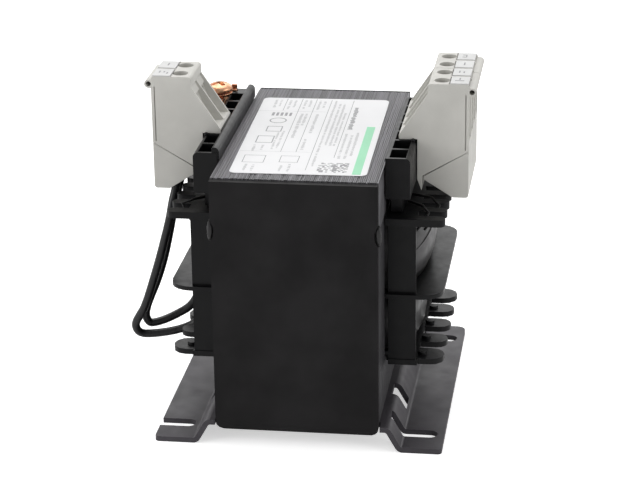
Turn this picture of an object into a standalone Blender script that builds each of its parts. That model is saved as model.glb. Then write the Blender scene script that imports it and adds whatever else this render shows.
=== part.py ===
"""Mains transformer: an EI core held by a welded clamping frame on a folded mounting plate.

A two-chamber bobbin carries the windings, and rails on it carry the screw terminals.
Units are metres. X runs along the stack of sheets, Y away from the front leaf, Z up.
"""

import math

import bmesh
import bpy
from mathutils import Matrix, Vector

MM = 0.001
GAP = 0.3 * MM                    # clearance between two pieces that seat on each other
WELD = 0.002 * MM                 # points closer than this are one point
GRID = 0.001 * MM                 # every point lies on this grid
ARC_STEPS = 5                     # straight pieces in a quarter turn
OVERRUN = 1.5 * MM                # how far a cutter or a joined piece passes the face it crosses

# Core: the sheets' standard proportions, in thickness along X
STACK = 45.5 * MM
LIMB = 14.0 * MM
YOKE = 14.0 * MM
CENTRE_LIMB = 28.0 * MM
WINDOW_WIDTH = 14.0 * MM
WINDOW_HEIGHT = 42.0 * MM
CORE_JOINT = 0.1 * MM             # air gap between the E and the I sheets

# Clamping frame: one strap, folded to a U
STRAP = 2.0 * MM
STRAP_BEND = 1.5 * MM             # inside radius
STRAP_HEIGHT = 3.5 * MM           # underside above the floor
LEAF_SHORTFALL = 0.4 * MM         # how far the leaves end below the core's top
LEAF_CORNER_ACROSS = 5.0 * MM
LEAF_CORNER_UP = 3.3 * MM
NOTCH_RADIUS = 4.6 * MM
NOTCH_DEPTH = 1.0 * MM            # of the shallow round notch in a leaf's edge
NOTCH_DROP = 0.5 * MM             # how far the notches sit below the core's joint
BEAD_ACROSS = 0.7 * MM
BEAD_UP = 2.1 * MM
BEAD_PROUD = 0.15 * MM            # how far a weld bead's middle stands outside the leaf's edge

# Mounting plate: one folded sheet
PLATE = 1.5 * MM
PLATE_BEND = 0.8 * MM
SHOULDER_OUT = 2.15 * MM          # from the core's side to the middle of the fold at the ledge
WEB = 3.3 * MM                    # width of the slanted web
FOOT = 11.7 * MM                  # width of a foot
SLOT_PITCH = 69.0 * MM
SLOT_WIDTH = 4.6 * MM
CLOSED_SLOT_MARGIN = 1.9 * MM     # from a closed slot's end to the foot's edge
OPEN_SLOT = 10.0 * MM
WEB_WINDOW_NEAR = 13.9 * MM
WEB_WINDOW_FAR = 21.4 * MM
WEB_WINDOW_RISE = 1.2 * MM        # how far a web window runs into the ledge
WEB_WINDOW_EDGE = 0.3 * MM
FOOT_CORNER = 1.2 * MM
FOOT_CORNER_REAR = 2.5 * MM

# Bobbin. A size that ends in OUT is measured from the core's side
TUBE_WALL = 1.2 * MM
WINDOW_FLANGE = 1.2 * MM          # flange thickness inside the core's windows
FLANGE = 2.0 * MM
LOWER_FLANGE = 1.6 * MM
FLANGE_DROP = 2.2 * MM            # how far the lower flange steps down outside the core
MID_FLANGE = 1.2 * MM
MID_FLANGE_HEIGHT = 39.5 * MM
MID_FLANGE_OUT = 15.35 * MM
MID_FLANGE_HALF = 29.0 * MM
MID_FLANGE_CORNER = 6.0 * MM
REACH_OFFSET = 0.5 * MM           # the flanges reach this much further right, and less left
RISER = 1.4 * MM                  # wall that steps the lower flange down
CHEEK_OUT = 8.35 * MM
CHEEK = 1.2 * MM
WING_LIP = 0.3 * MM               # how far the lower flange passes the cheeks
TOOTH_ROOT_OUT = 8.75 * MM        # where the gaps between fingers and between comb teeth end
FINGER_PITCH = 11.45 * MM
FINGER_OUT = 15.55 * MM
FINGER_WIDTH = 6.5 * MM
OUTER_FINGER_WIDTH = 8.2 * MM
COMB_PITCH = 7.1 * MM
COMB_OUT = 15.45 * MM
COMB_WIDTH = 3.6 * MM
COMB_SIDE = 4                     # comb teeth on each side of the middle one
PEG = 2.0 * MM
BOSS = 2.6 * MM                   # round bosses on the fingers' roots
BOSS_HEIGHT = 0.8 * MM
BOSS_OUT = 9.95 * MM

# Windings
UPPER_COIL_OUT = 11.55 * MM
UPPER_COIL_BARREL = 2.0 * MM      # how much less the upper winding reaches at its top and bottom
LOWER_COIL_OUT = 10.15 * MM
LOWER_COIL_TAPER = 1.7 * MM       # how much less the lower winding reaches at its bottom
COIL_LEVELS = 5                   # outlines that shape the upper winding's side
COIL_POINTS = 12                  # points in a quarter of a winding's outline

# Terminal rails
RAIL_WIDTH = 6.85 * MM
RAIL_HALF = 28.85 * MM
RAIL_REAR_LEFT = 33.0 * MM        # the left rail runs on, beside the earth terminal
RAIL_TOP = 80.2 * MM
RAIL_BOTTOM = 68.5 * MM
RAIL_CORNER = 1.4 * MM
RAIL_BAR_TOP = 81.7 * MM
RAIL_BAR = 1.65 * MM              # thickness of the raised bar at the left rail's inner side
RAIL_BAR_LIP = 0.45 * MM          # how far that bar leans over the core's top
RAIL_BAR_ROUND = 1.3 * MM
RAIL_BAR_EDGE = 0.6 * MM
SPINE_INSET = 1.15 * MM
SPINE_WIDTH = 3.3 * MM
SPINE_HALF = 25.0 * MM
POCKET_COUNT = 7
POCKET_WALL = 1.1 * MM
POCKET_INSET = 1.85 * MM          # wall between the core and the left rail's pockets
POCKET_INSET_RIGHT = 1.05 * MM
POCKET_RIM = 1.3 * MM             # wall outside the pockets
POCKET_DEPTH = 8.0 * MM

# Terminal blocks
POLE_PITCH = 8.1 * MM
BLOCK_JOINT = 0.3 * MM            # gap between neighbouring blocks
BLOCK_HEIGHT = 16.0 * MM          # top above the rail
BLOCK_DROP = 16.8 * MM            # bottom below the rail's top
TOE_INSET = 2.0 * MM              # from the rail's inner face to the block's toe
BLOCK_CORNER = 0.8 * MM
TOE_HEIGHT = 1.1 * MM
BROW_WALL = 1.4 * MM              # from the screw hole to the inner edge of the block's top
BROW_HEIGHT = 2.9 * MM            # the upright face above the slanted one
OUTER_WALL = 3.9 * MM             # from the contact strip's slot to the block's outer face
OUTER_RECESS = 0.6 * MM           # depth of each pole's field on the outer face
OUTER_RIB = 2.4 * MM              # width of the ribs between those fields
SIDE_SLIT = 0.3 * MM              # width of the slit in the block's sides
SIDE_SLIT_DEPTH = 0.6 * MM
SIDE_SLIT_INSET = 0.8 * MM
SKIN = 0.75 * MM                  # walls beside and between the wire funnels
FUNNEL_LIFT = 3.3 * MM            # the funnels' floor above the rail
FUNNEL_STEP_DROP = 5.5 * MM       # the step in the funnels below the block's top
FUNNEL_DEPTH = 3.6 * MM           # behind the slanted face, at the floor
FUNNEL_STEP_DEPTH = 1.6 * MM
FUNNEL_UPPER_DEPTH = 0.9 * MM
FUNNEL_BROW_DEPTH = 0.5 * MM
ENTRY_EDGE = 0.8 * MM             # frame round the opening from funnel to clamp
CAP_SIDE = 5.1 * MM               # height of the cap's inner corner above its bottom
CAP_FOOT = 4.4 * MM               # width of the cap's flat bottom
CAP_INSET = 0.6 * MM              # between the hook and the cap
SEAM_LIFT = 1.1 * MM
SEAM_RISE = 7.4 * MM              # how much the seam climbs to the outer face
SCREW_OFFSET = 6.5 * MM           # screw axis from the block's upright inner face
SCREW_HOLE = 4.4 * MM
SCREW_HEAD = 3.8 * MM
SCREW_HEAD_HEIGHT = 2.0 * MM
SCREW_SHANK = 2.6 * MM
SCREW_SLOT = 0.7 * MM
HEAD_DEPTH = 5.2 * MM             # cavity's roof below the block's top
CAVITY_LIFT = 0.5 * MM
CAVITY_HALF = 2.8 * MM
CAVITY_SIDE = 2.9 * MM
CAGE_WALL = 0.8 * MM
CAGE_ROOF = 2.2 * MM
CAGE_TRAVEL = 1.2 * MM            # how far the cage can rise
STRIP = 0.8 * MM
STRIP_WIDTH = 3.0 * MM
STRIP_TAIL_LIFT = 6.7 * MM        # the strip's tail above the cap's bottom
TAG = 0.9 * MM
TAG_EDGE = 0.2 * MM               # from the screw hole to the tag
TAG_HALF = 3.4 * MM
TAG_PROUD = 0.2 * MM
BEADING = 1.2 * MM                # radius of the hollow beading at the outer edge
BEADING_BORE = 0.75 * MM
BEADING_OUT = 0.7 * MM            # its middle outside the outer face
BEADING_DROP = 2.2 * MM           # its middle below the block's top
HOOK_DROP = 3.2 * MM
HOOK_WIDTH = 1.2 * MM

# Leads and winding ends
LEAD = 2.1 * MM
LEAD_BORE = 3.0 * MM
LEAD_STRAIGHT = 5.4 * MM          # from a lead's end in the cap to where it starts to bend
WINDING_WIRE = 0.8 * MM

# Earth terminal, beside the left rail
EARTH_OUT = 8.25 * MM
EARTH_Y = 25.7 * MM
EARTH_STRAP = 1.2 * MM
EARTH_PAD = 5.8 * MM              # width of the strap's pad
EARTH_PAD_FRONT = 20.0 * MM
EARTH_PAD_REAR = 30.5 * MM
EARTH_TONGUE = 3.6 * MM           # height of the strap's tongue below the rail
EARTH_FLANGE = 6.0 * MM           # length of the flange on the core's side
EARTH_SHANK = 3.8 * MM
EARTH_SHANK_LENGTH = 5.4 * MM
EARTH_HEAD = 7.6 * MM
EARTH_HEAD_HEIGHT = 2.0 * MM
EARTH_WASHER = 7.6 * MM
EARTH_WASHER_THICKNESS = 0.8 * MM
EARTH_EAR = 2.4 * MM
EARTH_CROSS = 1.1 * MM
EARTH_CROSS_ARM = 2.5 * MM

# Rating label
LABEL_LENGTH = 71.5 * MM
LABEL_WIDTH = 37.3 * MM
LABEL_THICKNESS = 0.2 * MM
LABEL_CORNER = 1.8 * MM
LABEL_TURN = 1.5                  # degrees
LABEL_SHIFT_X = -0.5 * MM
LABEL_SHIFT_Y = -0.8 * MM

# Places that follow from the sizes above
HALF_STACK = STACK / 2
HALF_CORE = CENTRE_LIMB / 2 + WINDOW_WIDTH + LIMB
LEAF_INNER = HALF_CORE + GAP
LEAF_OUTER = LEAF_INNER + STRAP
LEDGE_BOTTOM = STRAP_HEIGHT + STRAP + GAP
LEDGE_TOP = LEDGE_BOTTOM + PLATE
CORE_BOTTOM = LEDGE_TOP + GAP
WINDOW_BOTTOM = CORE_BOTTOM + YOKE
WINDOW_TOP = WINDOW_BOTTOM + WINDOW_HEIGHT
CORE_TOP = WINDOW_TOP + CORE_JOINT + YOKE
LEAF_TOP = CORE_TOP - LEAF_SHORTFALL
CORE_SIDE = HALF_STACK + GAP
PLATE_SHOULDER = CORE_SIDE + SHOULDER_OUT
PLATE_HEEL = PLATE_SHOULDER + WEB
FOOT_REACH = PLATE_HEEL + FOOT
CLOSED_SLOT_END = FOOT_REACH - CLOSED_SLOT_MARGIN
CLOSED_SLOT_START = PLATE_SHOULDER
OPEN_SLOT_START = FOOT_REACH - OPEN_SLOT
MID_FLANGE_REACH = CORE_SIDE + MID_FLANGE_OUT
CHEEK_REACH = CORE_SIDE + CHEEK_OUT
TOOTH_ROOT = CORE_SIDE + TOOTH_ROOT_OUT
FINGER_REACH = CORE_SIDE + FINGER_OUT
COMB_REACH = CORE_SIDE + COMB_OUT
UPPER_COIL_REACH = CORE_SIDE + UPPER_COIL_OUT
LOWER_COIL_REACH = CORE_SIDE + LOWER_COIL_OUT
RAIL_OUTER = CORE_SIDE + RAIL_WIDTH
POCKET_OUTER = RAIL_OUTER - POCKET_RIM
BLOCK_TOE = CORE_SIDE + TOE_INSET
TUBE_X = CORE_SIDE + TUBE_WALL
TUBE_Y = CENTRE_LIMB / 2 + GAP + TUBE_WALL
WINDOW_REACH = CENTRE_LIMB / 2 + WINDOW_WIDTH - GAP
BOBBIN_FLOOR = WINDOW_BOTTOM + GAP
BOBBIN_TOP = WINDOW_TOP - GAP
LOWER_FLANGE_TOP = BOBBIN_FLOOR + WINDOW_FLANGE - FLANGE_DROP
LOWER_FLANGE_BOTTOM = LOWER_FLANGE_TOP - LOWER_FLANGE
UPPER_FLANGE_BOTTOM = BOBBIN_TOP - FLANGE
COIL_Y = WINDOW_REACH - CHEEK - GAP
BLOCK_SEAT = RAIL_TOP + GAP
BLOCK_SIDE = RAIL_OUTER + GAP
BLOCK_TOP = BLOCK_SEAT + BLOCK_HEIGHT
BLOCK_BOTTOM = BLOCK_SEAT - BLOCK_DROP
BLOCK_FOOT = BLOCK_SEAT + TOE_HEIGHT
BROW = BLOCK_TOP - BROW_HEIGHT
SCREW_X = BLOCK_SIDE + SCREW_OFFSET
STRIP_X = SCREW_X + CAVITY_HALF + STRIP / 2
BLOCK_BROW = SCREW_X - SCREW_HOLE / 2 - BROW_WALL
BLOCK_OUTER = STRIP_X + STRIP / 2 + GAP + OUTER_WALL
HOOK_EDGE = BLOCK_SIDE + HOOK_WIDTH
CAP_INNER = HOOK_EDGE + CAP_INSET
CAP_KNEE = BLOCK_OUTER - CAP_FOOT
CAP_SIDE_BOTTOM = BLOCK_BOTTOM + CAP_SIDE
SEAM_INNER = CAP_SIDE_BOTTOM + SEAM_LIFT
SEAM_OUTER = SEAM_INNER + SEAM_RISE
CAVITY_FLOOR = BLOCK_SEAT + CAVITY_LIFT
CAVITY_ROOF = BLOCK_TOP - HEAD_DEPTH
SCREW_SEAT = CAVITY_ROOF + GAP
CAGE_LOW = CAVITY_FLOOR + GAP
CAGE_HIGH = CAVITY_ROOF - CAGE_TRAVEL
FUNNEL_FLOOR = BLOCK_SEAT + FUNNEL_LIFT
FUNNEL_STEP = BLOCK_TOP - FUNNEL_STEP_DROP
STRIP_TAIL = BLOCK_BOTTOM + STRIP_TAIL_LIFT
TAG_INNER = SCREW_X + SCREW_HOLE / 2 + TAG_EDGE
BEADING_HEIGHT = BLOCK_TOP - BEADING_DROP
LEAD_X = STRIP_X - LEAD / 2
EARTH_X = -CORE_SIDE - EARTH_OUT
EARTH_PAD_OUTER = BLOCK_SIDE + EARTH_PAD

PARTS = None
CUTTERS = None
ORIGIN = None


def start():
    """Empties the scene and makes the collections and the empty that carries every piece."""
    for old in list(bpy.data.objects):
        bpy.data.objects.remove(old, do_unlink=True)
    groups = []
    for name in ("mains_transformer", "cutters"):
        group = bpy.data.collections.new(name)
        bpy.context.scene.collection.children.link(group)
        groups.append(group)
    origin = bpy.data.objects.new("origin", None)
    groups[0].objects.link(origin)
    return groups[0], groups[1], origin


def material(name, colour, roughness, metallic=0.0):
    finish = bpy.data.materials.new(name)
    finish.use_nodes = True
    shader = finish.node_tree.nodes["Principled BSDF"]
    shader.inputs["Base Color"].default_value = (*colour, 1.0)
    shader.inputs["Roughness"].default_value = roughness
    shader.inputs["Metallic"].default_value = metallic
    return finish


def place(obj, finish):
    """Links a new object, gives it its material and hangs it on the common origin."""
    PARTS.objects.link(obj)
    obj.data.materials.append(finish)
    obj.parent = ORIGIN
    return obj


def from_bmesh(name, bm, finish):
    """Makes the object, with its points on a fine grid, so that faces meant to be flush are exactly so."""
    for vertex in bm.verts:
        vertex.co = [round(value / GRID) * GRID for value in vertex.co]
    mesh = bpy.data.meshes.new(name)
    bmesh.ops.recalc_face_normals(bm, faces=bm.faces)
    bm.to_mesh(mesh)
    bm.free()
    return place(bpy.data.objects.new(name, mesh), finish)


def box(name, low, high, finish):
    bm = bmesh.new()
    bmesh.ops.create_cube(bm, size=1.0)
    bmesh.ops.scale(bm, vec=[b - a for a, b in zip(low, high)], verts=bm.verts)
    bmesh.ops.translate(bm, vec=[(a + b) / 2 for a, b in zip(low, high)], verts=bm.verts)
    return from_bmesh(name, bm, finish)


def pillar(name, centre, diameter, low, high, finish, sides=24):
    """A round bar that stands along Z."""
    bm = bmesh.new()
    bmesh.ops.create_cone(
        bm, cap_ends=True, segments=sides, radius1=diameter / 2, radius2=diameter / 2, depth=high - low
    )
    bmesh.ops.translate(bm, vec=(centre[0], centre[1], (low + high) / 2), verts=bm.verts)
    obj = from_bmesh(name, bm, finish)
    obj.data.shade_smooth()
    obj.data.set_sharp_from_angle(angle=math.radians(40))
    return obj


def arc(centre, across, up, start, end, steps=ARC_STEPS):
    """Points on an ellipse's arc, between two angles in degrees."""
    points = []
    for step in range(steps + 1):
        angle = math.radians(start + (end - start) * step / steps)
        points.append((centre[0] + across * math.cos(angle), centre[1] + up * math.sin(angle)))
    return points


def rounded(corners, steps=ARC_STEPS):
    """A closed outline through corners (u, v, radius), with an arc at each corner that has a radius."""
    points = []
    for index, (u, v, radius) in enumerate(corners):
        here = Vector((u, v))
        if radius <= 0:
            points.append((u, v))
            continue
        before = (Vector(corners[index - 1][:2]) - here).normalized()
        after = (Vector(corners[(index + 1) % len(corners)][:2]) - here).normalized()
        half = before.angle(after) / 2
        centre = here + (before + after).normalized() * radius / math.sin(half)
        first = here + before * radius / math.tan(half) - centre
        turn = math.pi - 2 * half
        if before.x * after.y - before.y * after.x > 0:
            turn = -turn
        for step in range(steps + 1):
            angle = turn * step / steps
            cos, sin = math.cos(angle), math.sin(angle)
            turned = (first.x * cos - first.y * sin, first.x * sin + first.y * cos)
            points.append((centre.x + turned[0], centre.y + turned[1]))
    return points


def ribbon(path, thickness, bend):
    """The section of a sheet folded along a path of its middle line, with this inside bend radius."""
    sides = []
    for side in (1, -1):
        corners = []
        for index, point in enumerate(path):
            here = Vector(point)
            into = here - Vector(path[index - 1]) if index else Vector(path[1]) - here
            out = Vector(path[index + 1]) - here if index + 1 < len(path) else into
            into = into.normalized()
            out = out.normalized()
            normal_in = Vector((-into.y, into.x))
            normal_out = Vector((-out.y, out.x))
            shift = (normal_in + normal_out) / (1 + normal_in.dot(normal_out)) * side * thickness / 2
            turn = into.x * out.y - into.y * out.x
            radius = 0
            if abs(turn) > 1e-6:
                radius = bend if turn * side > 0 else bend + thickness
            corners.append((here.x + shift.x, here.y + shift.y, radius))
        sides.append(corners)
    return rounded(sides[0] + sides[1][::-1])


# How a flat outline is turned so that its depth runs along X, Y or Z
TURNS = {
    "x": Matrix(((0, 0, 1), (1, 0, 0), (0, 1, 0))),
    "y": Matrix(((1, 0, 0), (0, 0, -1), (0, 1, 0))),
    "z": Matrix.Identity(3),
}


def prism(name, outline, axis, low, high, finish):
    """A flat outline made deep along an axis. Its points are (y, z) for x, (x, z) for y, (x, y) for z."""
    curve = bpy.data.curves.new(name, "CURVE")
    curve.dimensions = "2D"
    curve.fill_mode = "BOTH"
    curve.extrude = (high - low) / MM / 2
    spline = curve.splines.new("POLY")
    spline.points.add(len(outline) - 1)
    for point, (u, v) in zip(spline.points, outline):
        point.co = (u / MM, v / MM, 0, 1)
    spline.use_cyclic_u = True
    guide = bpy.data.objects.new(name + "_guide", curve)
    bpy.context.scene.collection.objects.link(guide)
    shift = Vector([(low + high) / 2 if axis == letter else 0 for letter in "xyz"])
    guide.matrix_world = Matrix.Translation(shift) @ (TURNS[axis] * MM).to_4x4()
    bpy.context.view_layer.update()
    depsgraph = bpy.context.evaluated_depsgraph_get()
    mesh = bpy.data.meshes.new_from_object(guide.evaluated_get(depsgraph))
    bm = bmesh.new()
    bm.from_mesh(mesh)
    bmesh.ops.remove_doubles(bm, verts=bm.verts, dist=WELD / MM)
    for end in (1, -1):
        cap = [face for face in bm.faces if all(vertex.co.z * end > 0 for vertex in face.verts)]
        bmesh.ops.dissolve_faces(bm, faces=cap)
    bmesh.ops.transform(bm, matrix=guide.matrix_world, verts=bm.verts)
    bpy.data.objects.remove(guide, do_unlink=True)
    bpy.data.meshes.remove(mesh)
    return from_bmesh(name, bm, finish)


def combine(target, operation, tools):
    """Joins the tools to the target, cuts them out of it, or keeps what they share."""
    for tool in tools:
        PARTS.objects.unlink(tool)
        CUTTERS.objects.link(tool)
        tool.hide_render = True
        tool.display_type = "WIRE"
        modifier = target.modifiers.new(tool.name, "BOOLEAN")
        modifier.operation = operation
        modifier.solver = "EXACT"
        modifier.object = tool
    return target


def smooth_route(corners, step):
    """Points along a smooth curve through the corners, about a step apart."""
    known = [Vector(corner) for corner in corners]
    known = [2 * known[0] - known[1], *known, 2 * known[-1] - known[-2]]
    points = []
    for index in range(1, len(known) - 2):
        p0, p1, p2, p3 = known[index - 1:index + 3]
        count = max(1, round((p2 - p1).length / step))
        for part in range(count):
            t = part / count
            points.append(
                0.5 * (2 * p1 + (p2 - p0) * t + (2 * p0 - 5 * p1 + 4 * p2 - p3) * t * t
                       + (3 * p1 - p0 - 3 * p2 + p3) * t ** 3)
            )
    points.append(known[-2])
    return points


def wire(name, corners, diameter, finish):
    """A round wire through these corners."""
    curve = bpy.data.curves.new(name, "CURVE")
    curve.dimensions = "3D"
    curve.bevel_depth = diameter / 2
    curve.bevel_resolution = 2
    curve.use_fill_caps = True
    points = smooth_route(corners, 2 * LEAD)
    spline = curve.splines.new("POLY")
    spline.points.add(len(points) - 1)
    for point, place_at in zip(spline.points, points):
        point.co = (*place_at, 1)
    return place(bpy.data.objects.new(name, curve), finish)


def beside_core(side, corners):
    """Corners of a route in millimetres: out from the core's side, along Y and up."""
    return [(side * (CORE_SIDE + out * MM), y * MM, z * MM) for out, y, z in corners]


def mirrored(outline, side):
    return [(side * point[0], *point[1:]) for point in outline]


def span(side, near, far):
    """The low and high X of a stretch that lies between two distances from the centre, on one side."""
    return tuple(sorted((side * near, side * far)))


def make_core(steel):
    window = CENTRE_LIMB / 2
    outline = [
        (-HALF_CORE, CORE_BOTTOM), (HALF_CORE, CORE_BOTTOM), (HALF_CORE, WINDOW_TOP),
        (HALF_CORE - LIMB, WINDOW_TOP), (HALF_CORE - LIMB, WINDOW_BOTTOM),
        (window, WINDOW_BOTTOM), (window, WINDOW_TOP), (-window, WINDOW_TOP), (-window, WINDOW_BOTTOM),
        (LIMB - HALF_CORE, WINDOW_BOTTOM), (LIMB - HALF_CORE, WINDOW_TOP), (-HALF_CORE, WINDOW_TOP),
    ]
    prism("core_e_stack", outline, "x", -HALF_STACK, HALF_STACK, steel)
    box(
        "core_i_stack",
        (-HALF_STACK, -HALF_CORE, WINDOW_TOP + CORE_JOINT), (HALF_STACK, HALF_CORE, CORE_TOP), steel,
    )


def make_clamping_frame(black_steel, weld_steel):
    """The folded strap, its leaves trimmed to their outline, and a weld bead in each notch."""
    middle = LEAF_INNER + STRAP / 2
    floor = STRAP_HEIGHT + STRAP / 2
    path = [(-middle, LEAF_TOP), (-middle, floor), (middle, floor), (middle, LEAF_TOP)]
    frame = prism(
        "clamping_frame", ribbon(path, STRAP, STRAP_BEND), "x", -HALF_STACK, HALF_STACK, black_steel
    )
    joint = WINDOW_TOP - NOTCH_DROP
    half = []
    half += arc(
        (HALF_STACK - LEAF_CORNER_ACROSS, STRAP_HEIGHT + LEAF_CORNER_UP),
        LEAF_CORNER_ACROSS, LEAF_CORNER_UP, -90, 0,
    )
    reach = math.degrees(math.acos(1 - NOTCH_DEPTH / NOTCH_RADIUS))
    notch_x = HALF_STACK + NOTCH_RADIUS - NOTCH_DEPTH
    half += arc((notch_x, joint), NOTCH_RADIUS, NOTCH_RADIUS, 180 + reach, 180 - reach, 2 * ARC_STEPS)
    half.append((HALF_STACK, LEAF_TOP))
    outline = half + mirrored(half[::-1], -1)
    keep = prism("leaf_outline", outline, "y", -LEAF_OUTER - STRAP, LEAF_OUTER + STRAP, black_steel)
    web_half = HALF_STACK - LEAF_CORNER_ACROSS
    trims = []
    for side in (1, -1):
        low, high = span(side, web_half, HALF_STACK + STRAP)
        trims.append(box(
            "web_trim",
            (low, STRAP_BEND - LEAF_INNER, 0), (high, LEAF_INNER - STRAP_BEND, LEDGE_BOTTOM - GAP / 2), black_steel,
        ))
    combine(frame, "INTERSECT", [keep])
    combine(frame, "DIFFERENCE", trims)

    for front, row in ((-1, "front"), (1, "rear")):
        for side, column in ((-1, "left"), (1, "right")):
            bm = bmesh.new()
            bmesh.ops.create_uvsphere(bm, u_segments=14, v_segments=8, radius=1.0)
            bmesh.ops.scale(bm, vec=(BEAD_ACROSS, STRAP / 2 - GAP / 4, BEAD_UP), verts=bm.verts)
            centre = (side * (HALF_STACK + BEAD_PROUD), front * middle, joint)
            bmesh.ops.translate(bm, vec=centre, verts=bm.verts)
            bead = from_bmesh(f"weld_bead_{row}_{column}", bm, weld_steel)
            bead.data.shade_smooth()


def make_mounting_plate(plate_steel):
    """The sheet folded across X, trimmed to its flat outline, then slotted and windowed."""
    ledge = LEDGE_BOTTOM + PLATE / 2
    foot = PLATE / 2
    path = [
        (-FOOT_REACH, foot), (-PLATE_HEEL, foot), (-PLATE_SHOULDER, ledge),
        (PLATE_SHOULDER, ledge), (PLATE_HEEL, foot), (FOOT_REACH, foot),
    ]
    plate = prism(
        "mounting_plate", ribbon(path, PLATE, PLATE_BEND), "y", -LEAF_OUTER - STRAP, LEAF_OUTER + STRAP,
        plate_steel,
    )
    tongue = LEAF_INNER - STRAP_BEND
    edge = FOOT_REACH + OVERRUN
    corners = [
        (FOOT_REACH, -LEAF_OUTER, FOOT_CORNER), (FOOT_REACH, LEAF_OUTER, FOOT_CORNER_REAR),
        (CORE_SIDE, LEAF_OUTER, 0), (CORE_SIDE, tongue, 0),
        (-CORE_SIDE, tongue, 0), (-CORE_SIDE, LEAF_OUTER, 0),
        (-FOOT_REACH, LEAF_OUTER, FOOT_CORNER), (-FOOT_REACH, -LEAF_OUTER, FOOT_CORNER),
        (-CORE_SIDE, -LEAF_OUTER, 0), (-CORE_SIDE, -tongue, 0),
        (CORE_SIDE, -tongue, 0), (CORE_SIDE, -LEAF_OUTER, 0),
    ]
    keep = prism("plate_outline", rounded(corners), "z", -OVERRUN, CORE_BOTTOM, plate_steel)
    combine(plate, "INTERSECT", [keep])
    cuts = []
    half_slot = SLOT_WIDTH / 2
    for y in (-SLOT_PITCH / 2, SLOT_PITCH / 2):
        closed = arc((CLOSED_SLOT_END - half_slot, y), half_slot, half_slot, -90, 90, 2 * ARC_STEPS)
        closed += [(CLOSED_SLOT_START, y + half_slot), (CLOSED_SLOT_START, y - half_slot)]
        cuts.append(prism("closed_slot", closed, "z", -OVERRUN, CORE_BOTTOM, plate_steel))
        opened = arc((-OPEN_SLOT_START - half_slot, y), half_slot, half_slot, 90, -90, 2 * ARC_STEPS)
        opened += [(-edge, y - half_slot), (-edge, y + half_slot)]
        cuts.append(prism("open_slot", opened, "z", -OVERRUN, CORE_BOTTOM, plate_steel))
    for side in (1, -1):
        for front in (1, -1):
            low, high = span(side, PLATE_SHOULDER - WEB_WINDOW_RISE, PLATE_HEEL - WEB_WINDOW_EDGE)
            near, far = span(front, WEB_WINDOW_NEAR, WEB_WINDOW_FAR)
            cuts.append(box("web_window", (low, near, -OVERRUN), (high, far, CORE_BOTTOM), plate_steel))
    combine(plate, "DIFFERENCE", cuts)


def flange_outline(reach, half, corner):
    """A flange that spreads outside the core and fits its windows inside it."""
    corners = []
    for side in (1, -1):
        far = side * reach + REACH_OFFSET
        quarter = [(side * CORE_SIDE, WINDOW_REACH, 0), (side * CORE_SIDE, half, 0), (far, half, corner)]
        edge = [(x, -y, radius) for x, y, radius in quarter] + quarter[::-1]
        corners += edge if side > 0 else edge[::-1]
    return rounded(corners)


def toothed_edge(root, reach, teeth):
    """The right edge of a plate with round-ended teeth, each (centre, width), from low Y to high Y."""
    points = []
    for centre, width in teeth:
        half = width / 2
        points.append((root, centre - half))
        points += arc((reach - half, centre), half, half, -90, 90, ARC_STEPS + 1)
        points.append((root, centre + half))
    return points


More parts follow.
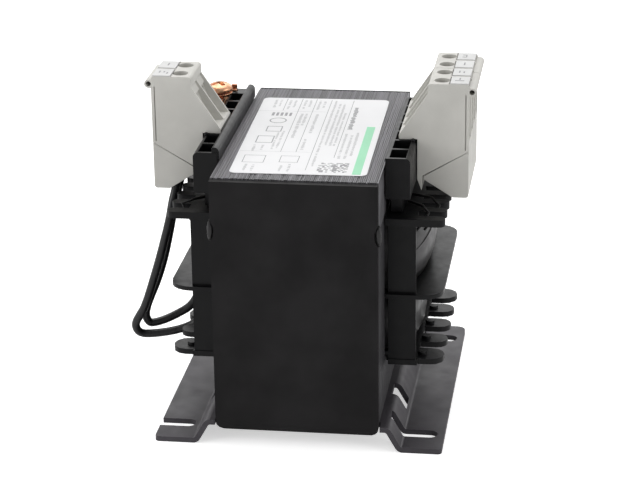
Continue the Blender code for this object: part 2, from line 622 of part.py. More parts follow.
def make_bobbin(moulding):
    """One moulding: tube, three flanges, cheeks beside the core, fingers below and combs above."""
    sunk = TUBE_WALL / 2
    tube_low = BOBBIN_FLOOR + WINDOW_FLANGE / 2
    tube_high = BOBBIN_TOP - FLANGE / 2
    root = CORE_SIDE + sunk
    bobbin = box("bobbin", (-TUBE_X, -TUBE_Y, tube_low), (TUBE_X, TUBE_Y, tube_high), moulding)
    additions = [box(
        "window_floor",
        (-root, -WINDOW_REACH, BOBBIN_FLOOR), (root, WINDOW_REACH, BOBBIN_FLOOR + WINDOW_FLANGE), moulding,
    )]
    additions.append(prism(
        "mid_flange", flange_outline(MID_FLANGE_REACH, MID_FLANGE_HALF, MID_FLANGE_CORNER), "z",
        MID_FLANGE_HEIGHT, MID_FLANGE_HEIGHT + MID_FLANGE, moulding,
    ))
    comb = [(COMB_PITCH * index, COMB_WIDTH) for index in range(-COMB_SIDE, COMB_SIDE + 1)]
    comb_half = COMB_PITCH * COMB_SIDE + COMB_WIDTH / 2
    right = [(CORE_SIDE, -WINDOW_REACH), (CORE_SIDE, -comb_half)]
    right += toothed_edge(TOOTH_ROOT, COMB_REACH + 2 * REACH_OFFSET, comb)
    right += [(CORE_SIDE, comb_half), (CORE_SIDE, WINDOW_REACH)]
    left = [(-CORE_SIDE, WINDOW_REACH), (-CORE_SIDE, comb_half)]
    left += [(-x, -y) for x, y in toothed_edge(TOOTH_ROOT, COMB_REACH - 2 * REACH_OFFSET, comb)]
    left += [(-CORE_SIDE, -comb_half), (-CORE_SIDE, -WINDOW_REACH)]
    additions.append(prism("upper_flange", right + left, "z", UPPER_FLANGE_BOTTOM, BOBBIN_TOP, moulding))

    fingers = [
        (-2 * FINGER_PITCH, OUTER_FINGER_WIDTH), (-FINGER_PITCH, FINGER_WIDTH), (0, FINGER_WIDTH),
        (FINGER_PITCH, FINGER_WIDTH), (2 * FINGER_PITCH, OUTER_FINGER_WIDTH),
    ]
    lip = WINDOW_REACH + WING_LIP
    for side in (1, -1):
        wing = [(root, -lip), (TOOTH_ROOT, -lip)]
        wing += toothed_edge(TOOTH_ROOT, FINGER_REACH + side * REACH_OFFSET, fingers)
        wing += [(TOOTH_ROOT, lip), (root, lip)]
        additions.append(prism(
            "lower_wing", mirrored(wing, side), "z", LOWER_FLANGE_BOTTOM, LOWER_FLANGE_TOP, moulding
        ))
        riser_half = WINDOW_REACH - CHEEK / 2
        low, high = span(side, CORE_SIDE, CORE_SIDE + RISER)
        wing_middle = (LOWER_FLANGE_BOTTOM + LOWER_FLANGE_TOP) / 2
        additions.append(box(
            "riser", (low, -riser_half, wing_middle),
            (high, riser_half, BOBBIN_FLOOR + WINDOW_FLANGE - GAP), moulding,
        ))
        low, high = span(side, root, CHEEK_REACH)
        for front in (1, -1):
            near, far = span(front, WINDOW_REACH - CHEEK, WINDOW_REACH)
            additions.append(box("cheek", (low, near, wing_middle), (high, far, tube_high), moulding))
            additions.append(pillar(
                "peg", (side * (CHEEK_REACH + PEG), front * FINGER_PITCH), PEG,
                LOWER_FLANGE_BOTTOM - PEG / 2, wing_middle, moulding, 10,
            ))
        for centre, _ in fingers:
            boss_x = side * (CORE_SIDE + BOSS_OUT)
            boss_top = LOWER_FLANGE_TOP + BOSS_HEIGHT
            additions.append(pillar("boss", (boss_x, centre), BOSS, wing_middle, boss_top, moulding, 12))
    limb_hole = box(
        "limb_hole",
        (-CORE_SIDE, TUBE_WALL - TUBE_Y, BOBBIN_FLOOR - FLANGE),
        (CORE_SIDE, TUBE_Y - TUBE_WALL, BOBBIN_TOP + FLANGE), moulding,
    )
    combine(bobbin, "UNION", additions)
    combine(bobbin, "DIFFERENCE", [limb_hole])


def coil_ring(reach, depth, centre_x, z):
    """The closed outline of a winding: straight in the windows, bulging outside the core."""
    points = []
    for quadrant, (sx, sy) in enumerate(((1, 1), (-1, 1), (-1, -1), (1, -1))):
        for step in range(COIL_POINTS):
            angle = math.pi / 2 * step / COIL_POINTS
            if quadrant % 2:
                angle = math.pi / 2 - angle
            x = centre_x + (reach - centre_x) * math.cos(angle)
            points.append(Vector((sx * x, sy * depth * math.sin(angle), z)))
    return points


def inner_ring(z):
    """The hole of a winding, with as many points as its outside, so that the two can be joined."""
    points = []
    half_x = TUBE_X + GAP
    half_y = TUBE_Y + GAP
    for quadrant, (sx, sy) in enumerate(((1, 1), (-1, 1), (-1, -1), (1, -1))):
        for step in range(COIL_POINTS):
            part = step / COIL_POINTS
            if quadrant % 2:
                part = 1 - part
            along = min(1.0, 2 * part)
            across = min(1.0, 2 * (1 - part))
            points.append(Vector((sx * half_x * across, sy * half_y * along, z)))
    return points


def loft_ring(name, rings, finish):
    """A ring-shaped solid whose section is closed through the rings in order."""
    bm = bmesh.new()
    rows = [[bm.verts.new(point) for point in ring] for ring in rings]
    for index, row in enumerate(rows):
        after = rows[(index + 1) % len(rows)]
        for spot in range(len(row)):
            following = (spot + 1) % len(row)
            bm.faces.new((row[spot], row[following], after[following], after[spot]))
    obj = from_bmesh(name, bm, finish)
    obj.data.shade_smooth()
    obj.data.set_sharp_from_angle(angle=math.radians(40))
    return obj


def make_windings(lacquer, tape):
    low = BOBBIN_FLOOR + WINDOW_FLANGE + GAP
    high = MID_FLANGE_HEIGHT - GAP
    middle = (low + high) / 2
    depth = COIL_Y
    loft_ring("winding_lower", [
        coil_ring(LOWER_COIL_REACH - LOWER_COIL_TAPER, depth, CORE_SIDE, low),
        coil_ring(LOWER_COIL_REACH - LOWER_COIL_TAPER / 2, depth, CORE_SIDE, middle),
        coil_ring(LOWER_COIL_REACH, depth, CORE_SIDE, high),
        inner_ring(high),
        inner_ring(low),
    ], lacquer)
    low = MID_FLANGE_HEIGHT + MID_FLANGE + GAP
    high = UPPER_FLANGE_BOTTOM - GAP
    rings = []
    for level in range(COIL_LEVELS):
        part = level / (COIL_LEVELS - 1)
        reach = UPPER_COIL_REACH - UPPER_COIL_BARREL * (2 * part - 1) ** 2
        rings.append(coil_ring(reach, depth, CORE_SIDE, low + (high - low) * part))
    loft_ring("winding_upper", rings + [inner_ring(high), inner_ring(low)], tape)


def make_rail(side, word, moulding):
    """A rail with a row of square pockets and a spine below. The left one has a bar and runs further back."""
    outline = mirrored([
        (CORE_SIDE, RAIL_BOTTOM, 0), (RAIL_OUTER, RAIL_BOTTOM, 0),
        (RAIL_OUTER, RAIL_TOP, RAIL_CORNER), (CORE_SIDE, RAIL_TOP, 0),
    ], side)
    rear = RAIL_HALF if side > 0 else RAIL_REAR_LEFT
    rail = prism(f"terminal_rail_{word}", rounded(outline), "y", -RAIL_HALF, rear, moulding)
    low, high = span(side, CORE_SIDE + SPINE_INSET, CORE_SIDE + SPINE_INSET + SPINE_WIDTH)
    foot = BOBBIN_TOP + GAP
    additions = [box("spine", (low, -SPINE_HALF, foot), (high, SPINE_HALF, RAIL_BOTTOM + OVERRUN), moulding)]
    if side < 0:
        lip = CORE_SIDE - RAIL_BAR_LIP
        wall = CORE_SIDE + RAIL_BAR
        bar = mirrored([
            (lip, CORE_TOP + GAP, 0), (wall, CORE_TOP + GAP, 0),
            (wall, RAIL_BAR_TOP, RAIL_BAR_EDGE), (lip, RAIL_BAR_TOP, RAIL_BAR_ROUND),
        ], side)
        additions.append(prism("rail_bar", rounded(bar), "y", GAP - RAIL_HALF, rear - GAP, moulding))
    combine(rail, "UNION", additions)
    pockets = []
    inset = POCKET_INSET_RIGHT if side > 0 else POCKET_INSET
    low, high = span(side, CORE_SIDE + inset, POCKET_OUTER)
    half = (POLE_PITCH - POCKET_WALL) / 2
    for index in range(POCKET_COUNT):
        y = (index - (POCKET_COUNT - 1) / 2) * POLE_PITCH
        pockets.append(box(
            "pocket", (low, y - half, RAIL_TOP - POCKET_DEPTH), (high, y + half, BLOCK_TOP), moulding
        ))
    if side < 0:
        pockets.append(pillar(
            "earth_relief", (EARTH_X, EARTH_Y), EARTH_SHANK + 2 * GAP, RAIL_BOTTOM - GAP, BLOCK_TOP, moulding
        ))
    combine(rail, "DIFFERENCE", pockets)


def slant_x(z):
    """How far from the centre the block's slanted inner face stands at a height."""
    return BLOCK_TOE + (z - BLOCK_FOOT) / (BROW - BLOCK_FOOT) * (BLOCK_BROW - BLOCK_TOE)


def seam_z(x):
    """Height of the slanted seam between the housing and its cap."""
    return SEAM_INNER + (x - CAP_INNER) / (BLOCK_OUTER - CAP_INNER) * (SEAM_OUTER - SEAM_INNER)


def housing_body(side, name, low_y, high_y, finish):
    """The housing's solid form, with the beading that carries the markers."""
    outline = [
        (BLOCK_TOE, BLOCK_SEAT, 0), (BLOCK_SIDE, BLOCK_SEAT, 0), (BLOCK_SIDE, CAP_SIDE_BOTTOM, 0),
        (HOOK_EDGE, CAP_SIDE_BOTTOM - HOOK_DROP, 0), (HOOK_EDGE + GAP, SEAM_INNER, 0),
        (BLOCK_OUTER, SEAM_OUTER, 0),
        (BLOCK_OUTER, BLOCK_TOP, BLOCK_CORNER), (BLOCK_BROW, BLOCK_TOP, BLOCK_CORNER),
        (BLOCK_BROW, BROW, 0), (BLOCK_TOE, BLOCK_FOOT, 0),
    ]
    housing = prism(f"{name}_housing", rounded(mirrored(outline, side)), "y", low_y, high_y, finish)
    beading = [(BLOCK_OUTER - BEADING, BEADING_HEIGHT - BEADING)]
    beading += arc((BLOCK_OUTER + BEADING_OUT, BEADING_HEIGHT), BEADING, BEADING, -90, 90, 2 * ARC_STEPS)
    beading += [(BLOCK_OUTER - BEADING, BEADING_HEIGHT + BEADING)]
    return housing, prism("beading", mirrored(beading, side), "y", low_y, high_y, finish)


def housing_side_cuts(side, low_y, high_y, finish):
    """The beading's bore, and the slit that parts the marker carrier from the sides."""
    bore = arc((BLOCK_OUTER + BEADING_OUT, BEADING_HEIGHT), BEADING_BORE, BEADING_BORE, 0, 360, 4 * ARC_STEPS)
    cuts = [prism("bore", mirrored(bore[:-1], side), "y", low_y - OVERRUN, high_y + OVERRUN, finish)]
    low, high = span(side, BLOCK_OUTER - SIDE_SLIT_INSET - SIDE_SLIT, BLOCK_OUTER - SIDE_SLIT_INSET)
    bottom = SEAM_OUTER + SIDE_SLIT
    top = BEADING_HEIGHT - BEADING_BORE
    for y, inward in ((low_y, SIDE_SLIT_DEPTH), (high_y, -SIDE_SLIT_DEPTH)):
        near, far = sorted((y - inward, y + inward))
        cuts.append(box("side_slit", (low, near, bottom), (high, far, top), finish))
    return cuts


def funnel_cuts(side, y, poles, finish):
    """One pole's wire funnel, with a step, and the opening from it to the clamp."""
    outline = [
        (slant_x(FUNNEL_FLOOR) - OVERRUN, FUNNEL_FLOOR),
        (slant_x(FUNNEL_FLOOR) + FUNNEL_DEPTH, FUNNEL_FLOOR),
        (slant_x(FUNNEL_STEP) + FUNNEL_STEP_DEPTH, FUNNEL_STEP),
        (slant_x(FUNNEL_STEP) + FUNNEL_UPPER_DEPTH, FUNNEL_STEP),
        (slant_x(BROW) + FUNNEL_BROW_DEPTH, BROW),
        (slant_x(BROW) - OVERRUN, BROW),
    ]
    end_wall = BLOCK_JOINT / 2 + SKIN
    near = y - POLE_PITCH / 2 + (end_wall if y == min(poles) else SKIN / 2)
    far = y + POLE_PITCH / 2 - (end_wall if y == max(poles) else SKIN / 2)
    half = CAVITY_SIDE - ENTRY_EDGE
    low, high = span(side, slant_x(FUNNEL_FLOOR), SCREW_X)
    sill = FUNNEL_FLOOR + ENTRY_EDGE
    lintel = FUNNEL_STEP - ENTRY_EDGE
    return [
        prism("funnel", mirrored(outline, side), "y", near, far, finish),
        box("wire_entry", (low, y - half, sill), (high, y + half, lintel), finish),
    ]


def pole_cuts(side, y, finish):
    """One pole's clamp cavity, strip slot, screw hole, tag recess and field on the outer face."""
    cuts = []
    low, high = span(side, SCREW_X - CAVITY_HALF, SCREW_X + CAVITY_HALF)
    cuts.append(box(
        "cavity", (low, y - CAVITY_SIDE, CAVITY_FLOOR), (high, y + CAVITY_SIDE, CAVITY_ROOF), finish
    ))
    low, high = span(side, STRIP_X - STRIP / 2 - GAP, STRIP_X + STRIP / 2 + GAP)
    slot_half = STRIP_WIDTH / 2 + GAP
    cuts.append(box(
        "strip_slot", (low, y - slot_half, seam_z(SCREW_X) - OVERRUN),
        (high, y + slot_half, CAGE_LOW + CAGE_WALL + STRIP + 2 * GAP), finish,
    ))
    cuts.append(pillar(
        "screw_hole", (side * SCREW_X, y), SCREW_HOLE, CAVITY_ROOF - GAP, BLOCK_TOP + GAP, finish
    ))
    low, high = span(side, TAG_INNER - GAP, BLOCK_OUTER + BEADING)
    floor = BLOCK_TOP + TAG_PROUD - TAG - GAP
    half = TAG_HALF + GAP
    cuts.append(box("tag_recess", (low, y - half, floor), (high, y + half, BLOCK_TOP + OVERRUN), finish))
    low, high = span(side, BLOCK_OUTER - OUTER_RECESS, BLOCK_OUTER + OVERRUN)
    field_half = (POLE_PITCH - OUTER_RIB) / 2
    cuts.append(box(
        "outer_field", (low, y - field_half, SEAM_OUTER + OUTER_RIB),
        (high, y + field_half, BEADING_HEIGHT - BEADING - OUTER_RECESS), finish,
    ))
    return cuts


def make_cap(side, name, poles, low_y, high_y, finish):
    """The cap under the housing, with a slot for each strip's tail and a bore for each lead."""
    outline = [
        (CAP_INNER, CAP_SIDE_BOTTOM, 0), (CAP_KNEE, BLOCK_BOTTOM, 0),
        (BLOCK_OUTER, BLOCK_BOTTOM, BLOCK_CORNER), (BLOCK_OUTER, SEAM_OUTER - GAP, 0),
        (CAP_INNER, SEAM_INNER - GAP, 0),
    ]
    cap = prism(f"{name}_cap", rounded(mirrored(outline, side)), "y", low_y, high_y, finish)
    cuts = []
    low, high = span(side, STRIP_X - STRIP / 2 - GAP, STRIP_X + STRIP / 2 + GAP)
    slot_half = STRIP_WIDTH / 2 + GAP
    for y in poles:
        cuts.append(box(
            "strip_slot", (low, y - slot_half, STRIP_TAIL - GAP), (high, y + slot_half, BLOCK_TOP), finish
        ))
        cuts.append(pillar(
            "lead_bore", (side * LEAD_X, y), LEAD_BORE, BLOCK_BOTTOM - OVERRUN, STRIP_TAIL + GAP, finish, 16
        ))
    combine(cap, "DIFFERENCE", cuts)


def make_block(side, name, poles, finishes):
    """A two-pole terminal block: housing, cap, and the screw, cage, strip and tag of each pole."""
    low_y = min(poles) - POLE_PITCH / 2 + BLOCK_JOINT / 2
    high_y = max(poles) + POLE_PITCH / 2 - BLOCK_JOINT / 2
    finish = finishes["housing"]
    housing, beading = housing_body(side, name, low_y, high_y, finish)
    additions = [beading]
    cuts = housing_side_cuts(side, low_y, high_y, finish)
    peg_half = (POLE_PITCH - POCKET_WALL) / 2 - GAP
    low, high = span(side, BLOCK_TOE + GAP, POCKET_OUTER - GAP)
    for y in poles:
        additions.append(box(
            "peg", (low, y - peg_half, RAIL_TOP - POCKET_DEPTH + GAP),
            (high, y + peg_half, BLOCK_SEAT + TOE_HEIGHT / 2), finish,
        ))
        cuts += funnel_cuts(side, y, poles, finish)
        cuts += pole_cuts(side, y, finish)
    combine(housing, "UNION", additions)
    combine(housing, "DIFFERENCE", cuts)
    make_cap(side, name, poles, low_y, high_y, finish)
    for number, y in enumerate(poles, 1):
        make_pole(side, f"{name}_{number}", y, finishes)


def make_pole(side, name, y, finishes):
    """What one pole holds: clamp screw, wire cage, contact strip and marker tag."""
    x = side * SCREW_X
    half_x = CAVITY_HALF - GAP
    half_y = CAVITY_SIDE - GAP
    cage = box(
        f"{name}_cage", (x - half_x, y - half_y, CAGE_LOW), (x + half_x, y + half_y, CAGE_HIGH),
        finishes["zinc"],
    )
    roof = CAGE_HIGH - CAGE_ROOF
    combine(cage, "DIFFERENCE", [
        box(
            "cage_window", (x - 2 * half_x, y - half_y + CAGE_WALL, CAGE_LOW + CAGE_WALL),
            (x + 2 * half_x, y + half_y - CAGE_WALL, roof), finishes["zinc"],
        ),
        pillar(
            "cage_thread", (x, y), SCREW_SHANK + 2 * GAP, roof - GAP, CAGE_HIGH + GAP, finishes["zinc"], 16
        ),
    ])
    head_top = SCREW_SEAT + SCREW_HEAD_HEIGHT
    head_middle = SCREW_SEAT + SCREW_HEAD_HEIGHT / 2
    screw = pillar(f"{name}_screw", (x, y), SCREW_HEAD, SCREW_SEAT, head_top, finishes["zinc"], 20)
    shank = pillar("shank", (x, y), SCREW_SHANK, roof - CAGE_WALL, head_middle, finishes["zinc"], 16)
    slot = box(
        "slot", (x - SCREW_HEAD, y - SCREW_SLOT / 2, head_middle),
        (x + SCREW_HEAD, y + SCREW_SLOT / 2, head_top + GAP), finishes["zinc"],
    )
    combine(screw, "UNION", [shank])
    combine(screw, "DIFFERENCE", [slot])

    strip_z = CAGE_LOW + CAGE_WALL + GAP + STRIP / 2
    path = mirrored([(SCREW_X - half_x, strip_z), (STRIP_X, strip_z), (STRIP_X, STRIP_TAIL)], side)
    prism(
        f"{name}_strip", ribbon(path, STRIP, STRIP / 2), "y", y - STRIP_WIDTH / 2, y + STRIP_WIDTH / 2,
        finishes["brass"],
    )
    low, high = span(side, TAG_INNER, BLOCK_OUTER - GAP)
    top = BLOCK_TOP + TAG_PROUD
    box(f"{name}_tag", (low, y - TAG_HALF, top - TAG), (high, y + TAG_HALF, top), finishes["tag"])


def lead_start(y):
    """Where a lead ends inside the cap, under the strip's tail, and the straight stretch below it."""
    top = STRIP_TAIL - GAP
    return [(-LEAD_X, y, top - LEAD_STRAIGHT * part) for part in (0, 0.5, 1)]


def make_leads(insulation, enamel):
    """The two leads of the left block, and the thin winding ends on the upper flange."""
    wire("lead_front", lead_start(-POLE_PITCH) + beside_core(-1, [
        (16.45, -8.6, 61.4), (17.05, -9.6, 58.6), (17.85, -10.6, 53.9), (19.35, -10.9, 48.1),
        (21.15, -11.0, 41.7), (23.05, -10.9, 35.6), (24.75, -10.7, 30.4), (26.35, -10.4, 26.2),
        (27.95, -10.1, 23.4), (29.15, -9.7, 20.9), (29.05, -9.1, 18.8), (27.95, -8.4, 17.4),
        (25.75, -7.6, 16.9), (21.05, -6.6, 17.2), (16.45, -5.9, 18.2), (12.75, -5.72, 20.0),
        (10.55, -5.72, 22.6), (9.95, -5.72, 25.0),
    ]), LEAD, insulation)
    wire("lead_rear", lead_start(0) + beside_core(-1, [
        (16.55, -1.0, 61.6), (17.45, -2.8, 57.2), (18.35, -4.4, 52.1), (19.45, -5.4, 46.3),
        (20.95, -5.9, 39.9), (22.85, -6.2, 33.9), (24.95, -6.2, 28.7), (26.35, -6.0, 25.1),
        (26.95, -5.8, 21.9), (26.05, -5.4, 19.7), (24.45, -4.8, 19.4), (21.45, -3.7, 20.1),
        (17.75, -2.4, 21.7), (14.55, -1.8, 23.8), (12.35, -1.0, 27.0), (11.75, 0.0, 30.0),
    ]), LEAD, insulation)
    wire("winding_end_left", beside_core(-1, [
        (5.55, -24.6, 55.0), (9.35, -24.8, 60.0), (10.95, -24.85, 63.9), (7.95, -21.8, 64.3),
        (5.25, -19.0, 64.2),
    ]), WINDING_WIRE, enamel)
    wire("winding_end_right_front", beside_core(1, [
        (5.55, -24.6, 55.0), (9.55, -24.8, 60.0), (11.55, -24.85, 63.6), (9.55, -21.0, 64.2),
        (5.35, -17.4, 64.2),
    ]), WINDING_WIRE, enamel)
    wire("winding_end_right_rear", beside_core(1, [
        (9.75, -17.7, 56.0), (12.75, -17.75, 60.0), (13.85, -17.75, 63.4), (11.45, -13.9, 64.2),
        (5.35, -11.3, 64.2),
    ]), WINDING_WIRE, enamel)


def make_earth_terminal(copper):
    """A pad beside the rail, folded down behind it to a tongue on the core's side; its washer and screw."""
    pad_top = RAIL_TOP
    pad_bottom = pad_top - EARTH_STRAP
    tongue_top = RAIL_BOTTOM - GAP
    tongue_bottom = tongue_top - EARTH_TONGUE
    wall_front = EARTH_PAD_REAR - EARTH_STRAP
    strap = box(
        "earth_strap", (-EARTH_PAD_OUTER, EARTH_PAD_FRONT, pad_bottom), (-BLOCK_SIDE, EARTH_PAD_REAR, pad_top),
        copper,
    )
    wall = [
        (-EARTH_PAD_OUTER, tongue_bottom), (-CORE_SIDE, tongue_bottom), (-CORE_SIDE, tongue_top),
        (-BLOCK_SIDE, tongue_top), (-BLOCK_SIDE, pad_top - EARTH_STRAP / 2),
        (-EARTH_PAD_OUTER, pad_top - EARTH_STRAP / 2),
    ]
    flange_rear = EARTH_PAD_REAR + EARTH_FLANGE
    combine(strap, "UNION", [
        prism("wall", wall, "y", wall_front, EARTH_PAD_REAR, copper),
        box(
            "flange", (-CORE_SIDE - EARTH_STRAP, EARTH_PAD_REAR - EARTH_STRAP / 2, tongue_bottom),
            (-CORE_SIDE, flange_rear, tongue_top), copper,
        ),
    ])
    hole = pillar(
        "earth_hole", (EARTH_X, EARTH_Y), EARTH_SHANK + 2 * GAP, pad_bottom - GAP, pad_top + GAP, copper
    )
    combine(strap, "DIFFERENCE", [hole])

    washer_low = pad_top + GAP
    washer_high = washer_low + EARTH_WASHER_THICKNESS
    half = EARTH_WASHER / 2
    washer = box(
        "earth_washer",
        (EARTH_X - half, EARTH_Y - half, washer_low), (EARTH_X + half, EARTH_Y + half, washer_high), copper,
    )
    ear = box(
        "ear", (EARTH_X + half - EARTH_EAR, EARTH_Y + half, washer_low),
        (EARTH_X + half, EARTH_Y + half + EARTH_WASHER_THICKNESS, washer_high + EARTH_EAR), copper,
    )
    bridge = box(
        "ear_root", (EARTH_X + half - EARTH_EAR, EARTH_Y, washer_low),
        (EARTH_X + half, EARTH_Y + half + EARTH_WASHER_THICKNESS / 2, washer_high), copper,
    )
    washer_hole = pillar(
        "washer_hole", (EARTH_X, EARTH_Y), EARTH_SHANK + 2 * GAP, washer_low - GAP, washer_high + GAP, copper
    )
    combine(washer, "UNION", [bridge, ear])
    combine(washer, "DIFFERENCE", [washer_hole])

    head_low = washer_high + GAP
    head_high = head_low + EARTH_HEAD_HEIGHT
    head_middle = (head_low + head_high) / 2
    screw = pillar("earth_screw", (EARTH_X, EARTH_Y), EARTH_HEAD, head_low, head_high, copper, 28)
    shank = pillar(
        "shank", (EARTH_X, EARTH_Y), EARTH_SHANK, head_low - EARTH_SHANK_LENGTH, head_middle, copper, 20
    )
    combine(screw, "UNION", [shank])
    half = EARTH_CROSS / 2
    cross = []
    for across, along in ((EARTH_CROSS_ARM, half), (half, EARTH_CROSS_ARM)):
        cross.append(box(
            "cross", (EARTH_X - across, EARTH_Y - along, head_middle),
            (EARTH_X + across, EARTH_Y + along, head_high + GAP), copper,
        ))
    combine(screw, "DIFFERENCE", cross)


def make_label(paper):
    half_x = LABEL_WIDTH / 2
    half_y = LABEL_LENGTH / 2
    corners = [(-half_x, -half_y), (half_x, -half_y), (half_x, half_y), (-half_x, half_y)]
    outline = rounded([(x, y, LABEL_CORNER) for x, y in corners])
    low = CORE_TOP + GAP
    label = prism("rating_label", outline, "z", low, low + LABEL_THICKNESS, paper)
    label.location = (LABEL_SHIFT_X, LABEL_SHIFT_Y, 0)
    label.rotation_euler.z = math.radians(LABEL_TURN)


def centre_on_footprint():
    """Moves the whole part so that the origin is under the middle of its overall box."""
    bpy.context.view_layer.update()
    depsgraph = bpy.context.evaluated_depsgraph_get()
    reach = []
    for obj in PARTS.objects:
        if obj.type in ("MESH", "CURVE"):
            piece = obj.evaluated_get(depsgraph).to_mesh()
            reach += [(obj.matrix_world @ vertex.co).x for vertex in piece.vertices]
    ORIGIN.location.x = -(min(reach) + max(reach)) / 2


def build():
    black_steel = material("black_painted_steel", (0.03, 0.03, 0.03), 0.45, 0.1)
    core_steel = material("lacquered_core_steel", (0.09, 0.09, 0.10), 0.5, 0.4)
    plate_steel = material("grey_black_steel", (0.06, 0.055, 0.065), 0.5, 0.3)
    moulding = material("black_moulding", (0.02, 0.02, 0.025), 0.4)
    coil_tape = material("black_coil_tape", (0.03, 0.03, 0.03), 0.3)
    lacquer = material("brown_black_lacquer", (0.03, 0.02, 0.02), 0.35)
    finishes = {
        "housing": material("light_grey_moulding", (0.52, 0.51, 0.47), 0.5),
        "zinc": material("zinc_plated_steel", (0.6, 0.6, 0.6), 0.35, 1.0),
        "brass": material("tinned_brass", (0.65, 0.6, 0.45), 0.35, 1.0),
        "tag": material("white_tag", (0.85, 0.85, 0.85), 0.5),
    }
    copper = material("copper_plated_steel", (0.75, 0.38, 0.22), 0.3, 1.0)
    insulation = material("black_lead_insulation", (0.02, 0.02, 0.02), 0.4)
    enamel = material("enamelled_wire", (0.08, 0.05, 0.04), 0.4)
    paper = material("white_label", (0.85, 0.86, 0.85), 0.5)

    make_core(core_steel)
    make_clamping_frame(black_steel, black_steel)
    make_mounting_plate(plate_steel)
    make_bobbin(moulding)
    make_windings(lacquer, coil_tape)
    make_rail(-1, "left", moulding)
    make_rail(1, "right", moulding)
    make_block(-1, "block_left", (-POLE_PITCH, 0), finishes)
    make_block(1, "block_right_front", (-POLE_PITCH, 0), finishes)
    make_block(1, "block_right_rear", (POLE_PITCH, 2 * POLE_PITCH), finishes)
    make_leads(insulation, enamel)
    make_earth_terminal(copper)
    make_label(paper)
    centre_on_footprint()


PARTS, CUTTERS, ORIGIN = start()
build()
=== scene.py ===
"""Looks of the mains transformer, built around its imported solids: finishes, edges, the sheets of the core,
the rating label's printed fields, the leads and the fine marks of the terminal blocks.

Sizes are in metres. The frame gives each piece its place: X along the stack of sheets, Y from the front
leaf to the rear leaf, Z up.
"""

import math
import random

import bmesh
import bpy
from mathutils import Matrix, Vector


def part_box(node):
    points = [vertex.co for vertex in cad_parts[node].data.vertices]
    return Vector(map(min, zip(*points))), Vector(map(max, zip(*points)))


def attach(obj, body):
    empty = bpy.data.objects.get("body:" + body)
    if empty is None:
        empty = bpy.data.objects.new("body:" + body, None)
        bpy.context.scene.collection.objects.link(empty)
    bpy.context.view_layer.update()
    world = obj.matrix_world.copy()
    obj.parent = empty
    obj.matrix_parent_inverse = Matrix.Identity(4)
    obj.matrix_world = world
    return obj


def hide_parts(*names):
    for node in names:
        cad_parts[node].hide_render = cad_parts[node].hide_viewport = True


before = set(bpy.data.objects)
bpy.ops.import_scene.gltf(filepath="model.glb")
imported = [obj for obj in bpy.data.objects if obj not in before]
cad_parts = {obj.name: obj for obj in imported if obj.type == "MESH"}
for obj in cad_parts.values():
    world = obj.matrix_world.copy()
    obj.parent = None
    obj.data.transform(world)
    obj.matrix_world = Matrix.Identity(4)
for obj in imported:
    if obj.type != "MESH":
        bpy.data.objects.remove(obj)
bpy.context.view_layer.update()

MM = 0.001
BODY = "root"

# Camera, at the photograph's viewing angle, placed from the middle of the core
CAMERA_PLACE = (85.64 * MM, -600.58 * MM, 270.72 * MM)
CAMERA_TURN = (69.60, 0.69, 7.77)       # degrees about X, Y, Z
CAMERA_LENS = 126.0                     # for a sensor 36 mm wide

# Stage
FLOOR_SIZE = 6.0
WORLD_STRENGTH = 0.42
BACKDROP_EDGE = (-0.35, 0.3)            # where the white backdrop fades in, along Y
FLOOR_GLOW = 0.55                       # added to the floor where the camera sees it

# Edges and shading, with angles in degrees
SAME_POINT = 0.004 * MM                 # corners closer than this are one
SAME_FACE = 0.4                         # faces that differ less are one
EDGE_ANGLE = 32                         # from which an edge is rounded
FACE_WEIGHT = 80                        # how much a large face sets the shading at its edges
SMOOTH_TURNED = 35                      # blunter edges of turned and wrapped pieces look smooth
SMOOTH_ROUND = 60                       # and those of lumps and nubs

# Core: the upper stack's sheets, which show on top
SHEETS = 91
SHEET_GAP = 0.07 * MM
SHEET_GAP_SPREAD = (0.3, 1.6)           # least and most of it
SHEET_UNEVEN = 0.1 * MM                 # how far a sheet's edge may lie below its neighbours'
SHEET_SUNK = 0.22 * MM                  # how far a few of them lie below
SUNK_SHARE = 0.16                       # how many do
SHEET_WAVE = 0.02 * MM                  # unevenness along one sheet's edge
SHEET_CHAMFER = 0.07 * MM
SHEET_STEPS = 40                        # stretches along a sheet

# Label. Places on it run from 0 to 1: s from its left edge to its right, t from front to rear
LABEL_MIDDLE = (-0.4 * MM, -2.3 * MM)
LABEL_TURN = 1.0                        # degrees
LABEL_WIDTH = 37.4 * MM
LABEL_LENGTH = 70.0 * MM
LABEL_CORNER = 1.9 * MM
CORNER_STEPS = 8
LABEL_FILM = 0.1 * MM
LABEL_SINK = 1.2 * LABEL_FILM           # from its face down to its underside
PRINT = 0.02 * MM                       # thickness of the printed fields
RULE = 0.16 * MM
FAINT_RULE = 0.12 * MM
THIN_OUTLINE = 0.2 * MM
BOLD_OUTLINE = 0.3 * MM
RING_RADIUS = 2.5 * MM
RING_LINE = 0.35 * MM
RING_STEPS = 24
GLYPH_GAP = 0.2 * MM                    # between the small blocks that stand for print
GLYPH_WIDTH = (0.35, 0.85)              # least and most, in millimetres
GLYPH_SPACE = 2.5                       # a space, in gaps
GLYPH_SPACES = 0.14                     # how often a space comes
BARS = 5
BAR = 0.02
BAR_PITCH = 0.034
PATCH_START = (0.63, 0.03)              # the patch of random squares
PATCH_SIZE = (0.22, 0.115)
PATCH_CELLS = 14
PATCH_FILLED = 0.48

